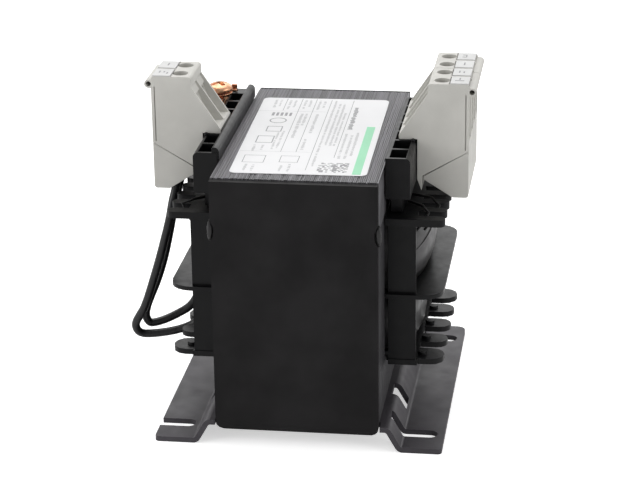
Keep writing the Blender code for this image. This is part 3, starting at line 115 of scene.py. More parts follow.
# Terminal blocks
POLE_PITCH = 8.1 * MM
BLOCK_TOE = 25.05 * MM                  # the slanted face's lower edge, from the middle
BLOCK_FOOT = 81.6 * MM
BLOCK_BROW = 33.1 * MM                  # its upper edge
BROW = 93.6 * MM
FUNNEL_FLOOR = 83.8 * MM                # of the frame's funnels
FUNNEL_LOW = 82.2 * MM                  # of the ones that show
FUNNEL_OVERLAP = 0.5 * MM               # how far the cut reaches up into the frame's funnel
FUNNEL_MOUTH = (1.5 * MM, 1.2 * MM)     # how far it starts before the slanted face, below and above
FUNNEL_DEPTH = (4.1 * MM, 3.5 * MM)     # how far it ends behind that face
FUNNEL_WALL = 0.92 * MM                 # the housing's wall beside it
FUNNEL_RIB = 0.4 * MM                   # half of the rib between two
SEAM_RISE = 7.4 * MM                    # how much the seam under a housing climbs to its outer face
SEAM = 0.3 * MM
SEAM_LINE = 0.14 * MM                   # what stays open of that seam
SEAM_INSET = 0.07 * MM
SEAM_SINK = 0.02 * MM                   # how far its filling reaches into the cap
MARK = 0.03 * MM                        # thickness of a marker's print
NUB = 0.6 * MM                          # radius of the small locking nubs on the rails
NUB_SINK = 1.4 * NUB                    # from the rail's outer wall to a nub's middle
NUB_LEVEL = 80.3 * MM

# Each block's side of the core, and its poles' places along Y
BLOCKS = {
    "block_left": (-1, (-POLE_PITCH, 0)),
    "block_right_front": (1, (-POLE_PITCH, 0)),
    "block_right_rear": (1, (POLE_PITCH, 2 * POLE_PITCH)),
}

# Leads
STRIP = 0.8 * MM                        # the contact strip that a lead hangs from
LEAD = 2.1 * MM
LEAD_SHOWN = 2.4 * MM                   # with the slack of its sleeve
LEAD_STRAIGHT = 5.4 * MM
LEAD_STEPS = 5                          # stretches between two corners of a lead's route

# Earth screw's head. Its foot lies below the top of the frame's plain head
EARTH_SHIFT = 0.7 * MM                  # to the left of the frame's screw
HEAD_HEIGHT = 2.0 * MM
HEAD_FOOT = 0.94                        # share of the radius at the foot's chamfer
HEAD_CHAMFER = 0.25 * MM
HEAD_RIM = 0.7 * MM                     # up to where the dome starts
HEAD_DOME = 1.9 * MM
HEAD_SIDES = 56
DOME_STEPS = 9
CROSS_TURN = 38                         # degrees
CROSS_FLOOR = (0.6 * MM, 1.2 * MM, 0.35 * MM)   # above the foot, half length, half width
CROSS_MOUTH = (1.0 * MM, 3.1 * MM, 0.8 * MM)    # above the frame's head, half length, half width

# Earth washer, whose tab lies at its right rear. Places are from its middle
WASHER = 0.8 * MM
WASHER_RADIUS = 3.75 * MM
WASHER_SIDES = 32
TAB_X = (2.6 * MM, 4.6 * MM)
TAB_Y = (2.3 * MM, 4.0 * MM)
EAR_START = 3.0 * MM                    # the ear stands on the tab's rear edge, from here to its end
EAR_RISE = 1.3 * MM

# Weld in the notches
WELD = (0.8 * MM, 0.8 * MM, 3.0 * MM)   # half sizes
WELD_RINGS = (28, 20)                   # faces round and along a lump
WELD_SINK = 0.9 * MM                    # how far its middle lies behind the leaf's outer face
WELD_ROUGH = 0.12 * MM

# Black boards in the core's window, beside the windings: painted shade that closes the gap through which the
# bright floor would show
BOARD = 1.0 * MM
BOARD_DEPTH = (24.2 * MM, 27.2 * MM)    # from the middle, to the front and to the rear
BOARD_LEVELS = (21.0 * MM, 62.0 * MM)

# Tape round the upper winding. Heights of a lap are shares of the winding's height
TAPE = 0.16 * MM
TAPE_LEVELS = 9
LAP_REACH = 80                          # degrees to each side of the winding's middle
LAP_STEPS = 24
LAP_LOW = 0.1
LAP_TOP = 0.62                          # mean height of its slanted edge
LAP_SLANT = 0.26
LAP_TURN = 0.3                          # radians by which the slant is shifted
COIL_BARREL = 2.0 * MM                  # how much less the winding reaches at its top and bottom

CORE_LOW, CORE_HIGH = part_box("core_e_stack")
CENTRE_X = (CORE_LOW.x + CORE_HIGH.x) / 2
CORE_SIDE = (CORE_HIGH.x - CORE_LOW.x) / 2 + 0.3 * MM


def here(x, y, z):
    """A point given from the middle of the core, as a place in the frame."""
    return Vector((CENTRE_X + x, y, z))


# Materials


class Finish:
    """A material with one Principled shader, and short ways to add nodes to it."""

    def __init__(self, name, colour, roughness, metallic=0.0, specular=0.5):
        self.material = bpy.data.materials.new(name)
        self.material.use_nodes = True
        self.nodes = self.material.node_tree.nodes
        self.links = self.material.node_tree.links
        self.shader = self.nodes["Principled BSDF"]
        self.shader.inputs["Base Color"].default_value = (*colour, 1.0)
        self.shader.inputs["Roughness"].default_value = roughness
        self.shader.inputs["Metallic"].default_value = metallic
        self.shader.inputs["Specular IOR Level"].default_value = specular
        self.place = self.nodes.new("ShaderNodeTexCoord").outputs["Object"]

    def stretched(self, x, y, z):
        """Object coordinates times a factor for each axis, so that a pattern is longer one way."""
        mapping = self.nodes.new("ShaderNodeMapping")
        mapping.inputs["Scale"].default_value = (x, y, z)
        self.links.new(self.place, mapping.inputs["Vector"])
        return mapping.outputs["Vector"]

    def noise(self, size, detail=4.0, place=None):
        """Noise whose features have about this size in metres, or 1 / size of a stretched place."""
        texture = self.nodes.new("ShaderNodeTexNoise")
        texture.inputs["Scale"].default_value = 1 / size
        texture.inputs["Detail"].default_value = detail
        self.links.new(place or self.place, texture.inputs["Vector"])
        return texture.outputs["Fac"]

    def ramp(self, value, stops):
        """Maps a value through (position, colour) stops."""
        node = self.nodes.new("ShaderNodeValToRGB")
        elements = node.color_ramp.elements
        while len(elements) < len(stops):
            elements.new(0.5)
        for element, (position, colour) in zip(elements, stops):
            element.position = position
            element.color = (*colour, 1.0)
        self.links.new(value, node.inputs["Fac"])
        return node.outputs["Color"]

    def math(self, operation, first, second=0.0):
        node = self.nodes.new("ShaderNodeMath")
        node.operation = operation
        for socket, value in zip(node.inputs, (first, second)):
            if isinstance(value, (int, float)):
                socket.default_value = value
            else:
                self.links.new(value, socket)
        return node.outputs["Value"]

    def between(self, value, low, high):
        """Maps a noise's middle range to low and high."""
        node = self.nodes.new("ShaderNodeMapRange")
        node.inputs["From Min"].default_value = 0.3
        node.inputs["From Max"].default_value = 0.7
        node.inputs["To Min"].default_value = low
        node.inputs["To Max"].default_value = high
        self.links.new(value, node.inputs["Value"])
        return node.outputs["Result"]

    def colour_from(self, value):
        self.links.new(value, self.shader.inputs["Base Color"])

    def roughness_from(self, value):
        self.links.new(value, self.shader.inputs["Roughness"])

    def bump(self, value, height):
        """Relief of this height in metres, over earlier relief if there is any."""
        node = self.nodes.new("ShaderNodeBump")
        node.inputs["Strength"].default_value = 1.0
        node.inputs["Distance"].default_value = height
        self.links.new(value, node.inputs["Height"])
        earlier = self.shader.inputs["Normal"].links
        if earlier:
            self.links.new(earlier[0].from_socket, node.inputs["Normal"])
        self.links.new(node.outputs["Normal"], self.shader.inputs["Normal"])


def shade(colour, factor):
    return tuple(value * factor for value in colour)


def paint(name, colour, roughness, metallic=0.0, specular=0.5):
    """Smooth paint on steel: faint orange peel, and patches a little duller than the rest."""
    made = Finish(name, colour, roughness, metallic, specular)
    cloud = made.noise(14 * MM, 3.0)
    made.colour_from(made.ramp(cloud, [(0.35, shade(colour, 0.85)), (0.65, shade(colour, 1.2))]))
    made.roughness_from(made.between(made.noise(5 * MM, 5.0), roughness - 0.06, roughness + 0.07))
    made.bump(made.noise(0.9 * MM, 2.0), 0.006 * MM)
    return made.material


def core_steel():
    """Sheet edges: each sheet has its own tone, with dull varnish in spots and along the gaps."""
    made = Finish("core_sheets", (0.16, 0.155, 0.17), 0.5, 0.6)
    across = made.nodes.new("ShaderNodeSeparateXYZ")
    made.links.new(made.place, across.inputs["Vector"])
    pitch = (CORE_HIGH.x - CORE_LOW.x) / SHEETS
    start = made.math("SUBTRACT", across.outputs["X"], CORE_LOW.x - 0.01 * pitch)
    # A pitch that is a trace wider keeps the last sheet's side in the last sheet's tone
    sheet = made.math("FLOOR", made.math("DIVIDE", start, 1.0002 * pitch))
    tone = made.nodes.new("ShaderNodeTexWhiteNoise")
    tone.noise_dimensions = "1D"
    made.links.new(sheet, tone.inputs["W"])
    varnish = made.noise(1.0, 4.0, made.stretched(2400, 90, 90))
    mixed = made.math("ADD", made.math("MULTIPLY", tone.outputs["Value"], 0.3),
                      made.math("MULTIPLY", varnish, 0.7))
    made.colour_from(made.ramp(mixed, [
        (0.3, (0.085, 0.083, 0.088)), (0.5, (0.135, 0.132, 0.14)), (0.7, (0.21, 0.205, 0.22)),
    ]))
    made.roughness_from(made.between(varnish, 0.4, 0.56))
    made.bump(made.noise(0.45 * MM, 3.0), 0.025 * MM)
    return made.material


def plastic(name, colour, roughness, specular=0.5, peel=0.008):
    """Moulded plastic: fine spark-eroded grain, soft flow marks and a slight unevenness of tone."""
    made = Finish(name, colour, roughness, 0.0, specular)
    cloud = made.noise(9 * MM, 3.0)
    made.colour_from(made.ramp(cloud, [(0.35, shade(colour, 0.95)), (0.65, shade(colour, 1.04))]))
    made.roughness_from(made.between(made.noise(3 * MM, 5.0), roughness - 0.05, roughness + 0.07))
    made.bump(made.noise(0.25 * MM, 3.0), peel * MM)
    made.bump(made.noise(6 * MM, 2.0), 0.03 * MM)
    return made.material


def metal(name, colour, roughness, stretch=(1500, 300, 300)):
    """Bare or plated metal with short drawn marks."""
    made = Finish(name, colour, roughness, 1.0)
    marks = made.noise(1.0, 4.0, made.stretched(*stretch))
    made.colour_from(made.ramp(marks, [(0.3, shade(colour, 0.72)), (0.7, shade(colour, 1.1))]))
    made.roughness_from(made.between(marks, roughness - 0.08, roughness + 0.14))
    made.bump(marks, 0.006 * MM)
    return made.material


def plated_copper():
    """Bright copper plating: clean, with a few duller clouds and slight dents from stamping."""
    made = Finish("copper_plate", (0.68, 0.35, 0.21), 0.26, 1.0)
    cloud = made.noise(2.5 * MM, 3.0)
    made.colour_from(made.ramp(cloud, [(0.35, (0.55, 0.24, 0.14)), (0.65, (0.78, 0.46, 0.28))]))
    made.roughness_from(made.between(made.noise(1.2 * MM, 4.0), 0.2, 0.36))
    made.bump(made.noise(1.6 * MM, 2.0), 0.03 * MM)
    return made.material


def tape():
    """Black wrapping on the upper winding: film with faint wrap edges and wrinkles."""
    made = Finish("coil_tape", (0.03, 0.029, 0.03), 0.34, 0.0, 0.4)
    wrinkles = made.noise(1.0, 4.0, made.stretched(160, 160, 420))
    made.colour_from(made.ramp(wrinkles, [(0.3, (0.020, 0.019, 0.020)), (0.7, (0.048, 0.046, 0.048))]))
    made.roughness_from(made.between(made.noise(4 * MM), 0.28, 0.46))
    made.bump(wrinkles, 0.08 * MM)
    return made.material


def lacquer():
    """Varnished wrapping of the lower winding: black-grey, with slanted folds whose lighter colour is painted
    sheen, and whose lower roughness makes them shine.
    """
    made = Finish("coil_lacquer", (0.03, 0.03, 0.032), 0.3, 0.0, 0.5)
    slanted = made.nodes.new("ShaderNodeMapping")
    slanted.inputs["Rotation"].default_value = (math.radians(24), 0.0, 0.0)
    slanted.inputs["Scale"].default_value = (500, 700, 130)
    made.links.new(made.place, slanted.inputs["Vector"])
    creases_and_sheen = made.noise(1.0, 5.0, slanted.outputs["Vector"])
    # Painted sheen: the colour lightens along the folds
    made.colour_from(made.ramp(creases_and_sheen, [(0.35, (0.018, 0.018, 0.019)), (0.7, (0.06, 0.06, 0.063))]))
    made.roughness_from(made.between(creases_and_sheen, 0.44, 0.3))
    made.bump(creases_and_sheen, 0.06 * MM)
    return made.material


def insulation():
    """Lead insulation: satin, with long drawn streaks."""
    made = Finish("lead_insulation", (0.010, 0.010, 0.011), 0.32, 0.0, 0.4)
    streaks = made.noise(1.0, 4.0, made.stretched(900, 900, 60))
    made.colour_from(made.ramp(streaks, [(0.3, (0.007, 0.007, 0.008)), (0.7, (0.016, 0.016, 0.017))]))
    made.roughness_from(made.between(streaks, 0.24, 0.42))
    made.bump(streaks, 0.015 * MM)
    return made.material


def film(name, colour, roughness=0.38):
    """Printed film: almost flat, with the slight waviness of the glue below it."""
    made = Finish(name, colour, roughness, 0.0, 0.3)
    cloud = made.noise(18 * MM, 2.0)
    made.colour_from(made.ramp(cloud, [(0.3, shade(colour, 0.97)), (0.7, colour)]))
    made.roughness_from(made.between(made.noise(7 * MM), roughness - 0.04, roughness + 0.05))
    made.bump(made.noise(4 * MM, 1.0), 0.012 * MM)
    return made.material


# Each kind's material
MATERIALS = {
    "strap": paint("strap_paint", (0.0178, 0.0172, 0.0178), 0.5, 0.0, 0.05),
    # The lower stack's outer sheets: painted shade, a darker tone than the upper stack's sheets of the same
    # steel, for the shadow of the bobbin's cheeks
    "shaded_core_sides": paint("outer_sheets_painted_shade", (0.040, 0.039, 0.042), 0.55, 0.2, 0.2),
    "weld": paint("weld_paint", (0.016, 0.0155, 0.016), 0.4, 0.0, 0.4),
    "plate": paint("plate_paint", (0.055, 0.051, 0.058), 0.44, 0.1, 0.3),
    "core": core_steel(),
    "moulding": plastic("black_moulding", (0.0048, 0.0048, 0.0054), 0.34, 0.2),
    "housing": plastic("grey_moulding", (0.58, 0.57, 0.535), 0.5, 0.3),
    "tag": plastic("white_marker", (0.64, 0.64, 0.635), 0.45, 0.3),
    "zinc": metal("zinc_plate", (0.55, 0.55, 0.54), 0.34),
    "brass": metal("tinned_brass", (0.60, 0.56, 0.45), 0.32),
    "copper": plated_copper(),
    "tape": tape(),
    "lacquer": lacquer(),
    "lead": insulation(),
    "enamel": paint("wire_enamel", (0.007, 0.0065, 0.0065), 0.35, 0.0, 0.3),
    "label": film("label_film", (0.78, 0.78, 0.79)),
    "ink": film("label_ink", (0.26, 0.26, 0.27)),
    "pale_ink": film("label_pale_ink", (0.52, 0.52, 0.53)),
    "green": film("label_green", (0.27, 0.66, 0.41)),
}


def round_edges(node, bevel, segments=2, whole=True):
    """Rounds an object's edges by a bevel in millimetres. With whole, its flat faces are joined first."""
    node.data.shade_smooth()
    weld = node.modifiers.new("weld", "WELD")
    weld.merge_threshold = SAME_POINT
    if whole:
        flat = node.modifiers.new("whole_faces", "DECIMATE")
        flat.decimate_type = "DISSOLVE"
        flat.angle_limit = math.radians(SAME_FACE)
    if bevel:
        edges = node.modifiers.new("edges", "BEVEL")
        edges.width = bevel * MM
        edges.segments = segments
        edges.limit_method = "ANGLE"
        edges.angle_limit = math.radians(EDGE_ANGLE)
        edges.miter_outer = "MITER_ARC"
    normals = node.modifiers.new("normals", "WEIGHTED_NORMAL")
    normals.weight = FACE_WEIGHT


def finish_node(name, kind, bevel=0.25, segments=2):
    """Gives a CAD node its finish and rounds its edges by a bevel in millimetres."""
    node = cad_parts[name]
    node.data.materials.clear()
    node.data.materials.append(MATERIALS[kind])
    round_edges(node, bevel, segments)


def finish_nodes():
    """The finish of every CAD node that shows."""
    finish_node("clamping_frame", "strap", 0.35, 3)
    finish_node("mounting_plate", "plate", 0.3, 3)
    # Painted shade: the lower stack's sides take the darker, shaded tone
    finish_node("core_e_stack", "shaded_core_sides", 0.1)
    finish_node("bobbin", "moulding", 0.45, 3)
    finish_node("terminal_rail_left", "moulding", 0.2)
    finish_node("terminal_rail_right", "moulding", 0.2)
    finish_node("winding_upper", "tape", 0)
    finish_node("winding_lower", "lacquer", 0)
    finish_node("earth_strap", "copper", 0.15)
    for name in ("winding_end_left", "winding_end_right_front", "winding_end_right_rear"):
        finish_node(name, "enamel", 0)
    for block in BLOCKS:
        finish_node(f"{block}_cap", "housing", 0.25)
        for number in (1, 2):
            finish_node(f"{block}_{number}_screw", "zinc", 0.12)
            finish_node(f"{block}_{number}_cage", "zinc", 0.1)
            finish_node(f"{block}_{number}_strip", "brass", 0.08)
            finish_node(f"{block}_{number}_tag", "tag", 0.1)


# Pieces that the frame doesn't hold


def ride_root(obj, kind, replaced=()):
    """Gives a new piece its material, and lets it ride on the frame's only body."""
    obj.data.materials.append(MATERIALS[kind])
    bpy.context.scene.collection.objects.link(obj)
    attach(obj, BODY)
    if replaced:
        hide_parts(*replaced)
    return obj


def new_piece(name, bm, kind, replaced=(), smooth=0):
    """A piece from a bmesh. With smooth, edges blunter than that angle in degrees are shaded smooth."""
    mesh = bpy.data.meshes.new(name)
    bmesh.ops.recalc_face_normals(bm, faces=bm.faces)
    bm.to_mesh(mesh)
    bm.free()
    if smooth:
        mesh.shade_smooth()
        mesh.set_sharp_from_angle(angle=math.radians(smooth))
    return ride_root(bpy.data.objects.new(name, mesh), kind, replaced)


def add_loft(bm, rings, closed=True):
    """Joins rings of points into a skin, with a flat face at each end if it is closed."""
    rows = [[bm.verts.new(point) for point in ring] for ring in rings]
    for row, after in zip(rows, rows[1:]):
        for spot in range(len(row)):
            following = (spot + 1) % len(row)
            bm.faces.new((row[spot], row[following], after[following], after[spot]))
    if closed:
        bm.faces.new(rows[0][::-1])
        bm.faces.new(rows[-1])


def rectangle(x0, x1, y0, y1):
    """Corners (x, y), anticlockwise from above."""
    return [(x0, y0), (x1, y0), (x1, y1), (x0, y1)]


def circle(centre, radius, steps, start=0.0):
    """Points (x, y) round a centre, shifted by a part of a step."""
    angles = [2 * math.pi * (part + start) / steps for part in range(steps)]
    return [(centre.x + radius * math.cos(angle), centre.y + radius * math.sin(angle)) for angle in angles]


def level_ring(points, z):
    return [Vector((x, y, z)) for x, y in points]


def add_prism(bm, points, low, high):
    """An upright block over an outline, between two heights."""
    add_loft(bm, [level_ring(points, z) for z in (low, high)])


def make_sheets():
    """The upper stack as separate sheets, whose edges lie a little uneven."""
    low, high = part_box("core_i_stack")
    draw = random.Random(11)
    pitch = (high.x - low.x) / SHEETS
    bm = bmesh.new()
    for index in range(SHEETS):
        gap = SHEET_GAP * draw.uniform(*SHEET_GAP_SPREAD)
        left = low.x + index * pitch + (gap / 2 if index else 0)
        right = low.x + (index + 1) * pitch - (gap / 2 if index < SHEETS - 1 else 0)
        drop = SHEET_UNEVEN * draw.random() ** 2
        if draw.random() < SUNK_SHARE:
            drop = SHEET_SUNK * draw.uniform(0.5, 1.0)
        rings = []
        for step in range(SHEET_STEPS + 1):
            y = low.y + (high.y - low.y) * step / SHEET_STEPS
            top = high.z - drop - SHEET_WAVE * draw.random()
            lean = SHEET_WAVE * draw.uniform(-0.5, 0.5)
            rings.append([
                Vector((left, y, low.z)), Vector((left, y, top - SHEET_CHAMFER)),
                Vector((left + SHEET_CHAMFER + lean, y, top)), Vector((right - SHEET_CHAMFER + lean, y, top)),
                Vector((right, y, top - SHEET_CHAMFER)), Vector((right, y, low.z)),
            ])
        add_loft(bm, rings)
    new_piece("core_i_sheets", bm, "core", ["core_i_stack"])


def on_label(s, t, lift):
    """A place on the label, from its shares across and along it, at a height above its face."""
    u = (s - 0.5) * LABEL_WIDTH
    v = (t - 0.5) * LABEL_LENGTH
    turn = math.radians(LABEL_TURN)
    x = LABEL_MIDDLE[0] + u * math.cos(turn) - v * math.sin(turn)
    y = LABEL_MIDDLE[1] + u * math.sin(turn) + v * math.cos(turn)
    return here(x, y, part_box("core_i_stack")[1].z + LABEL_FILM + lift)


def make_label():
    """The label's film, with round corners."""
    round_s = LABEL_CORNER / LABEL_WIDTH
    round_t = LABEL_CORNER / LABEL_LENGTH
    outline = []
    for s, t, start in ((1, 1, 0), (0, 1, 90), (0, 0, 180), (1, 0, 270)):
        middle_s = s + round_s * (1 if s == 0 else -1)
        middle_t = t + round_t * (1 if t == 0 else -1)
        for step in range(CORNER_STEPS + 1):
            angle = math.radians(start + 90 * step / CORNER_STEPS)
            outline.append((middle_s + round_s * math.cos(angle), middle_t + round_t * math.sin(angle)))
    bm = bmesh.new()
    add_loft(bm, [[on_label(s, t, lift) for s, t in outline] for lift in (-LABEL_SINK, 0)])
    new_piece("rating_label_film", bm, "label", ["rating_label"])


def add_field(bm, s0, s1, t0, t1):
    """A printed rectangle: a thin block, sunk by half its thickness into the film."""
    corners = rectangle(s0, s1, t0, t1)
    add_loft(bm, [[on_label(s, t, lift) for s, t in corners] for lift in (-PRINT / 2, PRINT)])


def add_outline(bm, s0, s1, t0, t1, line):
    """Four thin fields round a rectangle. The line's width is in metres."""
    ds = line / LABEL_WIDTH
    dt = line / LABEL_LENGTH
    add_field(bm, s0, s0 + ds, t0, t1)
    add_field(bm, s1 - ds, s1, t0, t1)
    add_field(bm, s0 + ds, s1 - ds, t0, t0 + dt)
    add_field(bm, s0 + ds, s1 - ds, t1 - dt, t1)


def add_ring(bm, s, t, radius, line):
    """A flat ring, printed on the label."""
    for step in range(RING_STEPS):
        angles = [math.radians(360 * (step + part) / RING_STEPS) for part in (0, 1)]
        corners = []
        for reach, pair in ((radius, angles), (radius - line, angles[::-1])):
            for angle in pair:
                corners.append((
                    s + reach * math.cos(angle) / LABEL_WIDTH, t + reach * math.sin(angle) / LABEL_LENGTH
                ))
        add_loft(bm, [[on_label(*corner, lift) for corner in corners] for lift in (-PRINT / 2, PRINT)])


def add_row(bm, draw, s, height, t0, t1):
    """A row of small blocks of uneven size, which stands for a line of print and can't be read."""
    t = t0
    while t < t1:
        width = draw.uniform(*GLYPH_WIDTH) * MM / LABEL_LENGTH
        if draw.random() < GLYPH_SPACES:
            t += GLYPH_SPACE * GLYPH_GAP / LABEL_LENGTH
            continue
        low = s - height / 2 * draw.uniform(0.5, 1.0)
        high = s + height / 2 * draw.uniform(0.5, 1.0)
        add_field(bm, low, high, t, min(t + width, t1))
        t += width + GLYPH_GAP / LABEL_LENGTH


def make_label_rules(draw):
    """The label's rules, outlines, ring, bars and patch of squares, all in dark ink."""
    rules = bmesh.new()
    for s, t0, t1 in (
        (0.72, 0.21, 0.98), (0.545, 0.05, 0.98), (0.424, 0.27, 0.99), (0.31, 0.27, 0.99), (0.19, 0.82, 0.99),
    ):
        add_field(rules, s, s + RULE / LABEL_WIDTH, t0, t1)
    add_outline(rules, 0.06, 0.22, 0.13, 0.22, THIN_OUTLINE)
    add_outline(rules, 0.33, 0.47, 0.14, 0.22, THIN_OUTLINE)
    add_outline(rules, 0.09, 0.22, 0.38, 0.47, BOLD_OUTLINE)
    add_outline(rules, 0.13, 0.25, 0.53, 0.60, BOLD_OUTLINE)
    add_ring(rules, 0.19, 0.68, RING_RADIUS, RING_LINE)
    add_row(rules, draw, 0.765, 0.042, 0.58, 0.88)
    for part in range(BARS):
        s = 0.12 + BAR_PITCH * part
        add_field(rules, s, s + BAR, 0.745, 0.79)
    wide = PATCH_SIZE[0] / PATCH_CELLS
    long = PATCH_SIZE[1] / PATCH_CELLS
    for row in range(PATCH_CELLS):
        for column in range(PATCH_CELLS):
            if draw.random() < PATCH_FILLED:
                s = PATCH_START[0] + PATCH_SIZE[0] * row / PATCH_CELLS
                t = PATCH_START[1] + PATCH_SIZE[1] * column / PATCH_CELLS
                add_field(rules, s, s + wide, t, t + long)
    new_piece("label_rules", rules, "ink")


def make_label_rows(draw):
    """The label's rows of small blocks and its two faint rules, in pale ink."""
    rows = bmesh.new()
    for t in (0.27, 0.81):
        add_field(rows, 0.01, 0.535, t, t + FAINT_RULE / LABEL_LENGTH)
    for s, height, t0, t1 in (
        (0.10, 0.024, 0.03, 0.11), (0.155, 0.024, 0.03, 0.10), (0.36, 0.024, 0.03, 0.10),
        (0.42, 0.024, 0.03, 0.12), (0.10, 0.026, 0.27, 0.35), (0.16, 0.024, 0.29, 0.35),
        (0.235, 0.022, 0.30, 0.52), (0.27, 0.022, 0.30, 0.54), (0.355, 0.03, 0.45, 0.78),
        (0.39, 0.026, 0.62, 0.78), (0.46, 0.028, 0.30, 0.44), (0.475, 0.03, 0.52, 0.78),
        (0.11, 0.026, 0.86, 0.97), (0.15, 0.022, 0.88, 0.97), (0.225, 0.024, 0.84, 0.97),
        (0.265, 0.022, 0.87, 0.97), (0.345, 0.024, 0.85, 0.97), (0.385, 0.022, 0.88, 0.97),
        (0.46, 0.024, 0.84, 0.97), (0.50, 0.022, 0.87, 0.96), (0.585, 0.022, 0.10, 0.97),
        (0.625, 0.022, 0.36, 0.93), (0.66, 0.022, 0.36, 0.93), (0.69, 0.02, 0.36, 0.8),
        (0.755, 0.024, 0.20, 0.52), (0.80, 0.024, 0.20, 0.50), (0.84, 0.024, 0.24, 0.54),
    ):
        add_row(rows, draw, s, height, t0, t1)
    new_piece("label_rows", rows, "pale_ink")


def make_label_print():
    """The label's colour field and generic marks. Every word and sign of the real one is left out."""
    draw = random.Random(5)
    green = bmesh.new()
    add_field(green, 0.892, 0.955, 0.012, 0.62)
    new_piece("label_green_field", green, "green")
    make_label_rules(draw)
    make_label_rows(draw)


def smooth_route(corners):
    """Points along a smooth curve through the corners."""
    known = [2 * corners[0] - corners[1], *corners, 2 * corners[-1] - corners[-2]]
    points = []
    for index in range(1, len(known) - 2):
        p0, p1, p2, p3 = known[index - 1:index + 3]
        for part in range(LEAD_STEPS):
            t = part / LEAD_STEPS
            points.append(
                0.5 * (2 * p1 + (p2 - p0) * t + (2 * p0 - 5 * p1 + 4 * p2 - p3) * t * t
                       + (3 * p1 - p0 - 3 * p2 + p3) * t ** 3)
            )
    points.append(corners[-1])
    return points


def make_lead(name, y, corners):
    """A lead as a smooth tube, along the route of the frame's solid. Its corners are in millimetres."""
    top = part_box(name)[1].z
    start_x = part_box("block_left_1_strip")[0].x + STRIP / 2 + LEAD / 2 - CENTRE_X
    route = [here(start_x, y, top - LEAD_STRAIGHT * part) for part in (0, 0.5, 1)]
    route += [here(-CORE_SIDE - out * MM, along * MM, up * MM) for out, along, up in corners]
    curve = bpy.data.curves.new(name + "_smooth", "CURVE")
    curve.dimensions = "3D"
    curve.bevel_depth = LEAD_SHOWN / 2
    curve.bevel_resolution = 6
    curve.use_fill_caps = True
    points = smooth_route(route)
    spline = curve.splines.new("POLY")
    spline.points.add(len(points) - 1)
    for point, place in zip(spline.points, points):
        point.co = (*place, 1)
    spline.use_smooth = True
    ride_root(bpy.data.objects.new(name + "_smooth", curve), "lead", [name])


def make_leads():
    make_lead("lead_front", -POLE_PITCH, [
        (16.45, -8.6, 61.4), (17.05, -9.6, 58.6), (17.85, -10.6, 53.9), (19.35, -10.9, 48.1),
        (21.15, -11.0, 41.7), (23.05, -10.9, 35.6), (24.75, -10.7, 30.4), (26.35, -10.4, 26.2),
        (27.95, -10.1, 23.4), (29.15, -9.7, 20.9), (29.05, -9.1, 18.8), (27.95, -8.4, 17.4),
        (25.75, -7.6, 16.9), (21.05, -6.6, 17.2), (16.45, -5.9, 18.2), (12.75, -5.72, 20.0),
        (10.55, -5.72, 22.6), (9.95, -5.72, 25.0),
    ])
    make_lead("lead_rear", 0, [
        (16.55, -1.0, 61.6), (17.45, -2.8, 57.2), (18.35, -4.4, 52.1), (19.45, -5.4, 46.3),
        (20.95, -5.9, 39.9), (22.85, -6.2, 33.9), (24.95, -6.2, 28.7), (26.35, -6.0, 25.1),
        (26.95, -5.8, 21.9), (26.05, -5.4, 19.7), (24.45, -4.8, 19.4), (21.45, -3.7, 20.1),
        (17.75, -2.4, 21.7), (14.55, -1.8, 23.8), (12.35, -1.0, 27.0), (11.75, 0.0, 30.0),
    ])


def make_welds():
    """Rough weld metal that fills each notch of the strap."""
    draw = random.Random(3)
    for row in ("front", "rear"):
        for column in ("left", "right"):
            node = f"weld_bead_{row}_{column}"
            low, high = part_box(node)
            bm = bmesh.new()
            around, along = WELD_RINGS
            bmesh.ops.create_uvsphere(bm, u_segments=around, v_segments=along, radius=1.0)
            for vertex in bm.verts:
                swell = 1 + WELD_ROUGH / WELD[0] * draw.uniform(-0.5, 0.5)
                vertex.co = [value * half * swell for value, half in zip(vertex.co, WELD)]
            middle = (low + high) / 2
            middle.y = low.y + WELD_SINK if row == "front" else high.y - WELD_SINK
            bmesh.ops.translate(bm, vec=middle, verts=bm.verts)
            new_piece(f"weld_{row}_{column}", bm, "weld", [node], SMOOTH_ROUND)


def cut_away(piece, cutter_bm):
    """Cuts the cutter's volume out of a piece, for good, and leaves no cutter behind."""
    mesh = bpy.data.meshes.new("cutter")
    bmesh.ops.recalc_face_normals(cutter_bm, faces=cutter_bm.faces)
    cutter_bm.to_mesh(mesh)
    cutter_bm.free()
    tool = bpy.data.objects.new("cutter", mesh)
    bpy.context.scene.collection.objects.link(tool)
    cut = piece.modifiers.new("cut", "BOOLEAN")
    cut.operation = "DIFFERENCE"
    cut.solver = "EXACT"
    cut.use_self = True
    cut.object = tool
    depsgraph = bpy.context.evaluated_depsgraph_get()
    shaped = bpy.data.meshes.new_from_object(piece.evaluated_get(depsgraph))
    piece.modifiers.clear()
    piece.data = shaped
    bpy.data.objects.remove(tool, do_unlink=True)


def earth_middle():
    """Middle of the earth screw's shown head, and its radius and the top of the frame's head."""
    low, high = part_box("earth_screw")
    centre = (low + high) / 2
    centre.x -= EARTH_SHIFT
    return centre, (high.x - low.x) / 2, high.z


def add_groove(bm, centre, turn, levels):
    """A straight groove turned about Z, between levels of (height, half length, half width)."""
    cos, sin = math.cos(math.radians(turn)), math.sin(math.radians(turn))
    rings = []
    for z, long_half, short_half in levels:
        points = []
        for x, y in rectangle(-long_half, long_half, -short_half, short_half):
            points.append((centre.x + x * cos - y * sin, centre.y + x * sin + y * cos))
        rings.append(level_ring(points, z))
    add_loft(bm, rings)


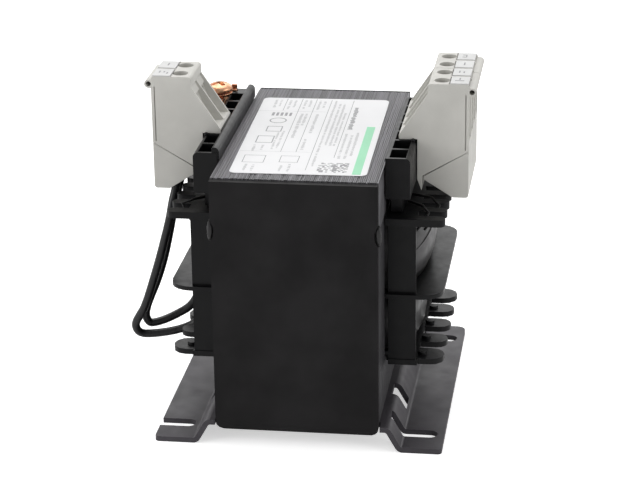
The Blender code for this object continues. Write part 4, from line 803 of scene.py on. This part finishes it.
def make_earth_screw():
    """A domed head with a cross recess over the frame's plain one."""
    centre, radius, top = earth_middle()
    foot = top - HEAD_HEIGHT
    rim = foot + HEAD_RIM
    profile = [(radius * HEAD_FOOT, foot), (radius, foot + HEAD_CHAMFER), (radius, rim)]
    for step in range(1, DOME_STEPS):
        angle = math.pi / 2 * step / DOME_STEPS
        profile.append((radius * math.cos(angle), rim + HEAD_DOME * math.sin(angle)))
    bm = bmesh.new()
    add_loft(bm, [level_ring(circle(centre, reach, HEAD_SIDES), z) for reach, z in profile])
    head = new_piece("earth_screw_head", bm, "copper", ["earth_screw"], SMOOTH_TURNED)
    levels = [(foot + CROSS_FLOOR[0], *CROSS_FLOOR[1:]), (top + CROSS_MOUTH[0], *CROSS_MOUTH[1:])]
    cutter = bmesh.new()
    for turn in (CROSS_TURN, CROSS_TURN + 90):
        add_groove(cutter, centre, turn, levels)
    cut_away(head, cutter)


def make_earth_washer():
    """The clamping washer below the head, a stamped plate with one ear bent up."""
    centre = earth_middle()[0]
    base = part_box("earth_washer")[0].z
    top = base + WASHER
    start, end = [centre.x + x for x in TAB_X]
    front, rear = [centre.y + y for y in TAB_Y]
    bm = bmesh.new()
    add_prism(bm, circle(centre, WASHER_RADIUS, WASHER_SIDES, 0.5), base, top)
    add_prism(bm, rectangle(start, end, front, rear), base, top)
    add_prism(bm, rectangle(centre.x + EAR_START, end, rear - WASHER, rear), base, top + EAR_RISE)
    washer = new_piece("earth_washer_stamped", bm, "copper", ["earth_washer"])
    round_edges(washer, 0.15)


def slant_x(z):
    """How far from the middle a terminal block's slanted face lies at a height."""
    return BLOCK_TOE + (z - BLOCK_FOOT) / (BROW - BLOCK_FOOT) * (BLOCK_BROW - BLOCK_TOE)


def make_housing(block, side, poles):
    """The frame's housing, with the wire funnels carried down to the rail."""
    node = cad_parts[f"{block}_housing"]
    mesh = node.data.copy()
    mesh.transform(node.matrix_world)
    mesh.materials.clear()
    housing = ride_root(bpy.data.objects.new(f"{block}_housing_shown", mesh), "housing", [f"{block}_housing"])
    below, above = slant_x(FUNNEL_LOW), slant_x(FUNNEL_FLOOR)
    top = FUNNEL_FLOOR + FUNNEL_OVERLAP
    outline = [
        (below - FUNNEL_MOUTH[0], FUNNEL_LOW), (below + FUNNEL_DEPTH[0], FUNNEL_LOW),
        (above + FUNNEL_DEPTH[1], top), (above - FUNNEL_MOUTH[1], top),
    ]
    cutter = bmesh.new()
    for y in poles:
        near = y - POLE_PITCH / 2 + (FUNNEL_WALL if y == min(poles) else FUNNEL_RIB)
        far = y + POLE_PITCH / 2 - (FUNNEL_WALL if y == max(poles) else FUNNEL_RIB)
        add_loft(cutter, [[here(side * x, depth, z) for x, z in outline] for depth in (near, far)])
    cut_away(housing, cutter)
    round_edges(housing, 0.12, whole=False)


def make_shade_boards():
    """A black board in the core's window, between each winding's end and the bobbin's cheek: painted shade
    that closes the gap there.
    """
    for sign, word in ((-1, "front"), (1, "rear")):
        near, far = sorted(sign * depth for depth in BOARD_DEPTH)
        bm = bmesh.new()
        add_prism(bm, rectangle(CENTRE_X - BOARD / 2, CENTRE_X + BOARD / 2, near, far), *BOARD_LEVELS)
        new_piece(f"window_shade_board_{word}", bm, "moulding")


def make_seam(block, side):
    """Fills most of the joint under a housing, so that a thin line is left of it."""
    low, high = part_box(f"{block}_cap")
    inner = (low.x if side > 0 else high.x) + side * SEAM_INSET
    outer = (high.x if side > 0 else low.x) - side * SEAM_INSET
    bm = bmesh.new()
    rings = []
    for x, rise in ((inner, -SEAM_RISE), (outer, 0.0)):
        bottom = high.z + rise - SEAM_SINK
        top = high.z + rise + SEAM - SEAM_LINE
        rings.append([
            Vector((x, low.y + SEAM_INSET, bottom)), Vector((x, high.y - SEAM_INSET, bottom)),
            Vector((x, high.y - SEAM_INSET, top)), Vector((x, low.y + SEAM_INSET, top)),
        ])
    add_loft(bm, rings)
    new_piece(f"{block}_seam", bm, "housing")


def make_tag_marks():
    """Generic bars on the pole markers, each (across, along, width, length) as shares of the marker."""
    bars = {
        "block_left_1": [(0.3, 0.12, 0.16, 0.5), (0.55, 0.12, 0.16, 0.3), (0.75, -0.2, 0.14, 0.4)],
        "block_left_2": [(0.5, 0.0, 0.16, 0.7)],
        "block_right_front_1": [(0.35, -0.2, 0.5, 0.16), (0.6, -0.2, 0.5, 0.16), (0.48, 0.3, 0.16, 0.5)],
        "block_right_front_2": [(0.35, 0.0, 0.16, 0.6), (0.6, -0.1, 0.16, 0.45)],
        "block_right_rear_1": [(0.5, 0.0, 0.16, 0.75)],
        "block_right_rear_2": [(0.4, -0.3, 0.5, 0.14), (0.4, 0.3, 0.5, 0.14), (0.5, 0.0, 0.14, 0.3)],
    }
    bm = bmesh.new()
    for pole, marks in bars.items():
        low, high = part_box(f"{pole}_tag")
        size = high - low
        middle = (low.y + high.y) / 2
        for across, along, wide, deep in marks:
            x = low.x + size.x * across
            y = middle + size.y * along / 2
            half_x = size.x * wide / 4
            half_y = size.y * deep / 4
            corners = rectangle(x - half_x, x + half_x, y - half_y, y + half_y)
            add_prism(bm, corners, high.z - MARK / 2, high.z + MARK)
    new_piece("tag_marks", bm, "ink")


def make_nubs():
    """The small black nub in front of each front block's foot, on the rail's outer wall."""
    for side, word in ((-1, "left"), (1, "right")):
        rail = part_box(f"terminal_rail_{word}")
        edge = rail[1].x if side > 0 else rail[0].x
        block = "block_left" if side < 0 else "block_right_front"
        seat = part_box(f"{block}_housing")[0].y
        bm = bmesh.new()
        bmesh.ops.create_uvsphere(bm, u_segments=20, v_segments=12, radius=NUB)
        bmesh.ops.translate(bm, vec=(edge - side * NUB_SINK, seat - NUB, NUB_LEVEL), verts=bm.verts)
        new_piece(f"rail_nub_{word}", bm, "moulding", (), SMOOTH_ROUND)


def make_tape_laps():
    """The last lap of tape on each open side of the upper winding, with a slanted upper edge."""
    low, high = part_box("winding_upper")
    reach = (high.x - low.x) / 2
    depth = (high.y - low.y) / 2
    height = high.z - low.z
    middle = (high.x + low.x) / 2
    for side, word in ((-1, "left"), (1, "right")):
        rings = []
        for step in range(LAP_STEPS + 1):
            angle = math.radians(LAP_REACH * (2 * step / LAP_STEPS - 1))
            top = LAP_TOP + LAP_SLANT * math.sin(angle + LAP_TURN)
            ring = []
            for skin in (TAPE, -TAPE):
                levels = range(TAPE_LEVELS + 1)
                for level in (levels if skin > 0 else reversed(levels)):
                    share = LAP_LOW + (top - LAP_LOW) * level / TAPE_LEVELS
                    swell = reach - COIL_BARREL * (2 * share - 1) ** 2 + skin
                    x = middle + side * (CORE_SIDE + (swell - CORE_SIDE) * math.cos(angle))
                    y = (depth + skin) * math.sin(angle)
                    ring.append(Vector((x, y, low.z + height * share)))
            rings.append(ring)
        bm = bmesh.new()
        add_loft(bm, rings)
        new_piece(f"tape_lap_{word}", bm, "tape", (), SMOOTH_TURNED)


def make_pieces():
    make_sheets()
    make_label()
    make_label_print()
    make_leads()
    make_welds()
    make_earth_screw()
    make_earth_washer()
    make_shade_boards()
    for block, (side, poles) in BLOCKS.items():
        make_housing(block, side, poles)
        make_seam(block, side)
    make_tag_marks()
    make_nubs()
    make_tape_laps()


# Stage, light and camera


def make_world():
    """A plain pale studio, with a white backdrop behind the part that its gloss mirrors too."""
    world = bpy.data.worlds.new("studio")
    bpy.context.scene.world = world
    world.use_nodes = True
    nodes = world.node_tree.nodes
    links = world.node_tree.links
    lit = nodes["Background"]
    lit.inputs["Color"].default_value = (1.0, 1.0, 1.0, 1.0)
    lit.inputs["Strength"].default_value = WORLD_STRENGTH
    seen = nodes.new("ShaderNodeBackground")
    seen.inputs["Color"].default_value = (1.0, 1.0, 1.0, 1.0)
    seen.inputs["Strength"].default_value = 1.0
    path = nodes.new("ShaderNodeLightPath")
    place = nodes.new("ShaderNodeTexCoord")
    axes = nodes.new("ShaderNodeSeparateXYZ")
    links.new(place.outputs["Generated"], axes.inputs["Vector"])
    behind = nodes.new("ShaderNodeMapRange")
    behind.inputs["From Min"].default_value = BACKDROP_EDGE[0]
    behind.inputs["From Max"].default_value = BACKDROP_EDGE[1]
    links.new(axes.outputs["Y"], behind.inputs["Value"])
    mirrored = nodes.new("ShaderNodeMath")
    mirrored.operation = "MULTIPLY"
    links.new(path.outputs["Is Glossy Ray"], mirrored.inputs[0])
    links.new(behind.outputs["Result"], mirrored.inputs[1])
    either = nodes.new("ShaderNodeMath")
    either.operation = "MAXIMUM"
    links.new(path.outputs["Is Camera Ray"], either.inputs[0])
    links.new(mirrored.outputs["Value"], either.inputs[1])
    mix = nodes.new("ShaderNodeMixShader")
    links.new(either.outputs["Value"], mix.inputs["Fac"])
    links.new(lit.outputs["Background"], mix.inputs[1])
    links.new(seen.outputs["Background"], mix.inputs[2])
    links.new(mix.outputs["Shader"], nodes["World Output"].inputs["Surface"])


def make_floor():
    """A pale floor that keeps the shadow, and glows a little to the camera so that it reads as white."""
    bm = bmesh.new()
    bmesh.ops.create_grid(bm, x_segments=1, y_segments=1, size=FLOOR_SIZE / 2)
    mesh = bpy.data.meshes.new("floor")
    bm.to_mesh(mesh)
    bm.free()
    floor = bpy.data.objects.new("floor", mesh)
    bpy.context.scene.collection.objects.link(floor)
    pale = bpy.data.materials.new("pale_floor")
    pale.use_nodes = True
    nodes = pale.node_tree.nodes
    links = pale.node_tree.links
    shader = nodes["Principled BSDF"]
    shader.inputs["Base Color"].default_value = (0.9, 0.9, 0.9, 1.0)
    shader.inputs["Roughness"].default_value = 0.9
    shader.inputs["Specular IOR Level"].default_value = 0.1
    path = nodes.new("ShaderNodeLightPath")
    glow = nodes.new("ShaderNodeMath")
    glow.operation = "MULTIPLY"
    glow.inputs[1].default_value = FLOOR_GLOW
    links.new(path.outputs["Is Camera Ray"], glow.inputs[0])
    shader.inputs["Emission Color"].default_value = (1.0, 1.0, 1.0, 1.0)
    links.new(glow.outputs["Value"], shader.inputs["Emission Strength"])
    mesh.materials.append(pale)


def make_lamp(name, place, target, size, watts):
    lamp = bpy.data.lights.new(name, "AREA")
    lamp.shape = "RECTANGLE"
    lamp.size, lamp.size_y = size
    lamp.energy = watts
    holder = bpy.data.objects.new(name, lamp)
    bpy.context.scene.collection.objects.link(holder)
    holder.location = place
    holder.rotation_euler = (Vector(target) - Vector(place)).to_track_quat("-Z", "Y").to_euler()


def make_lights():
    middle = (0.0, 0.0, 0.05)
    make_lamp("top_lamp", (-0.1, 0.3, 0.9), middle, (0.9, 0.9), 5.0)
    make_lamp("back_lamp", (0.0, 1.1, 0.55), middle, (1.2, 0.5), 1.6)
    make_lamp("left_lamp", (-0.9, -0.5, 0.45), middle, (0.7, 0.7), 5.0)
    make_lamp("right_lamp", (1.0, -0.3, 0.4), middle, (0.7, 0.7), 3.4)


def make_camera():
    camera = bpy.data.cameras.new("camera")
    camera.sensor_width = 36.0
    camera.lens = CAMERA_LENS
    camera.clip_start = 0.01
    camera.clip_end = 50.0
    holder = bpy.data.objects.new("camera", camera)
    bpy.context.scene.collection.objects.link(holder)
    holder.location = here(*CAMERA_PLACE)
    holder.rotation_euler = [math.radians(angle) for angle in CAMERA_TURN]
    bpy.context.scene.camera = holder


bpy.context.scene.view_settings.view_transform = "Standard"
make_camera()
make_world()
make_floor()
make_lights()
finish_nodes()
make_pieces()
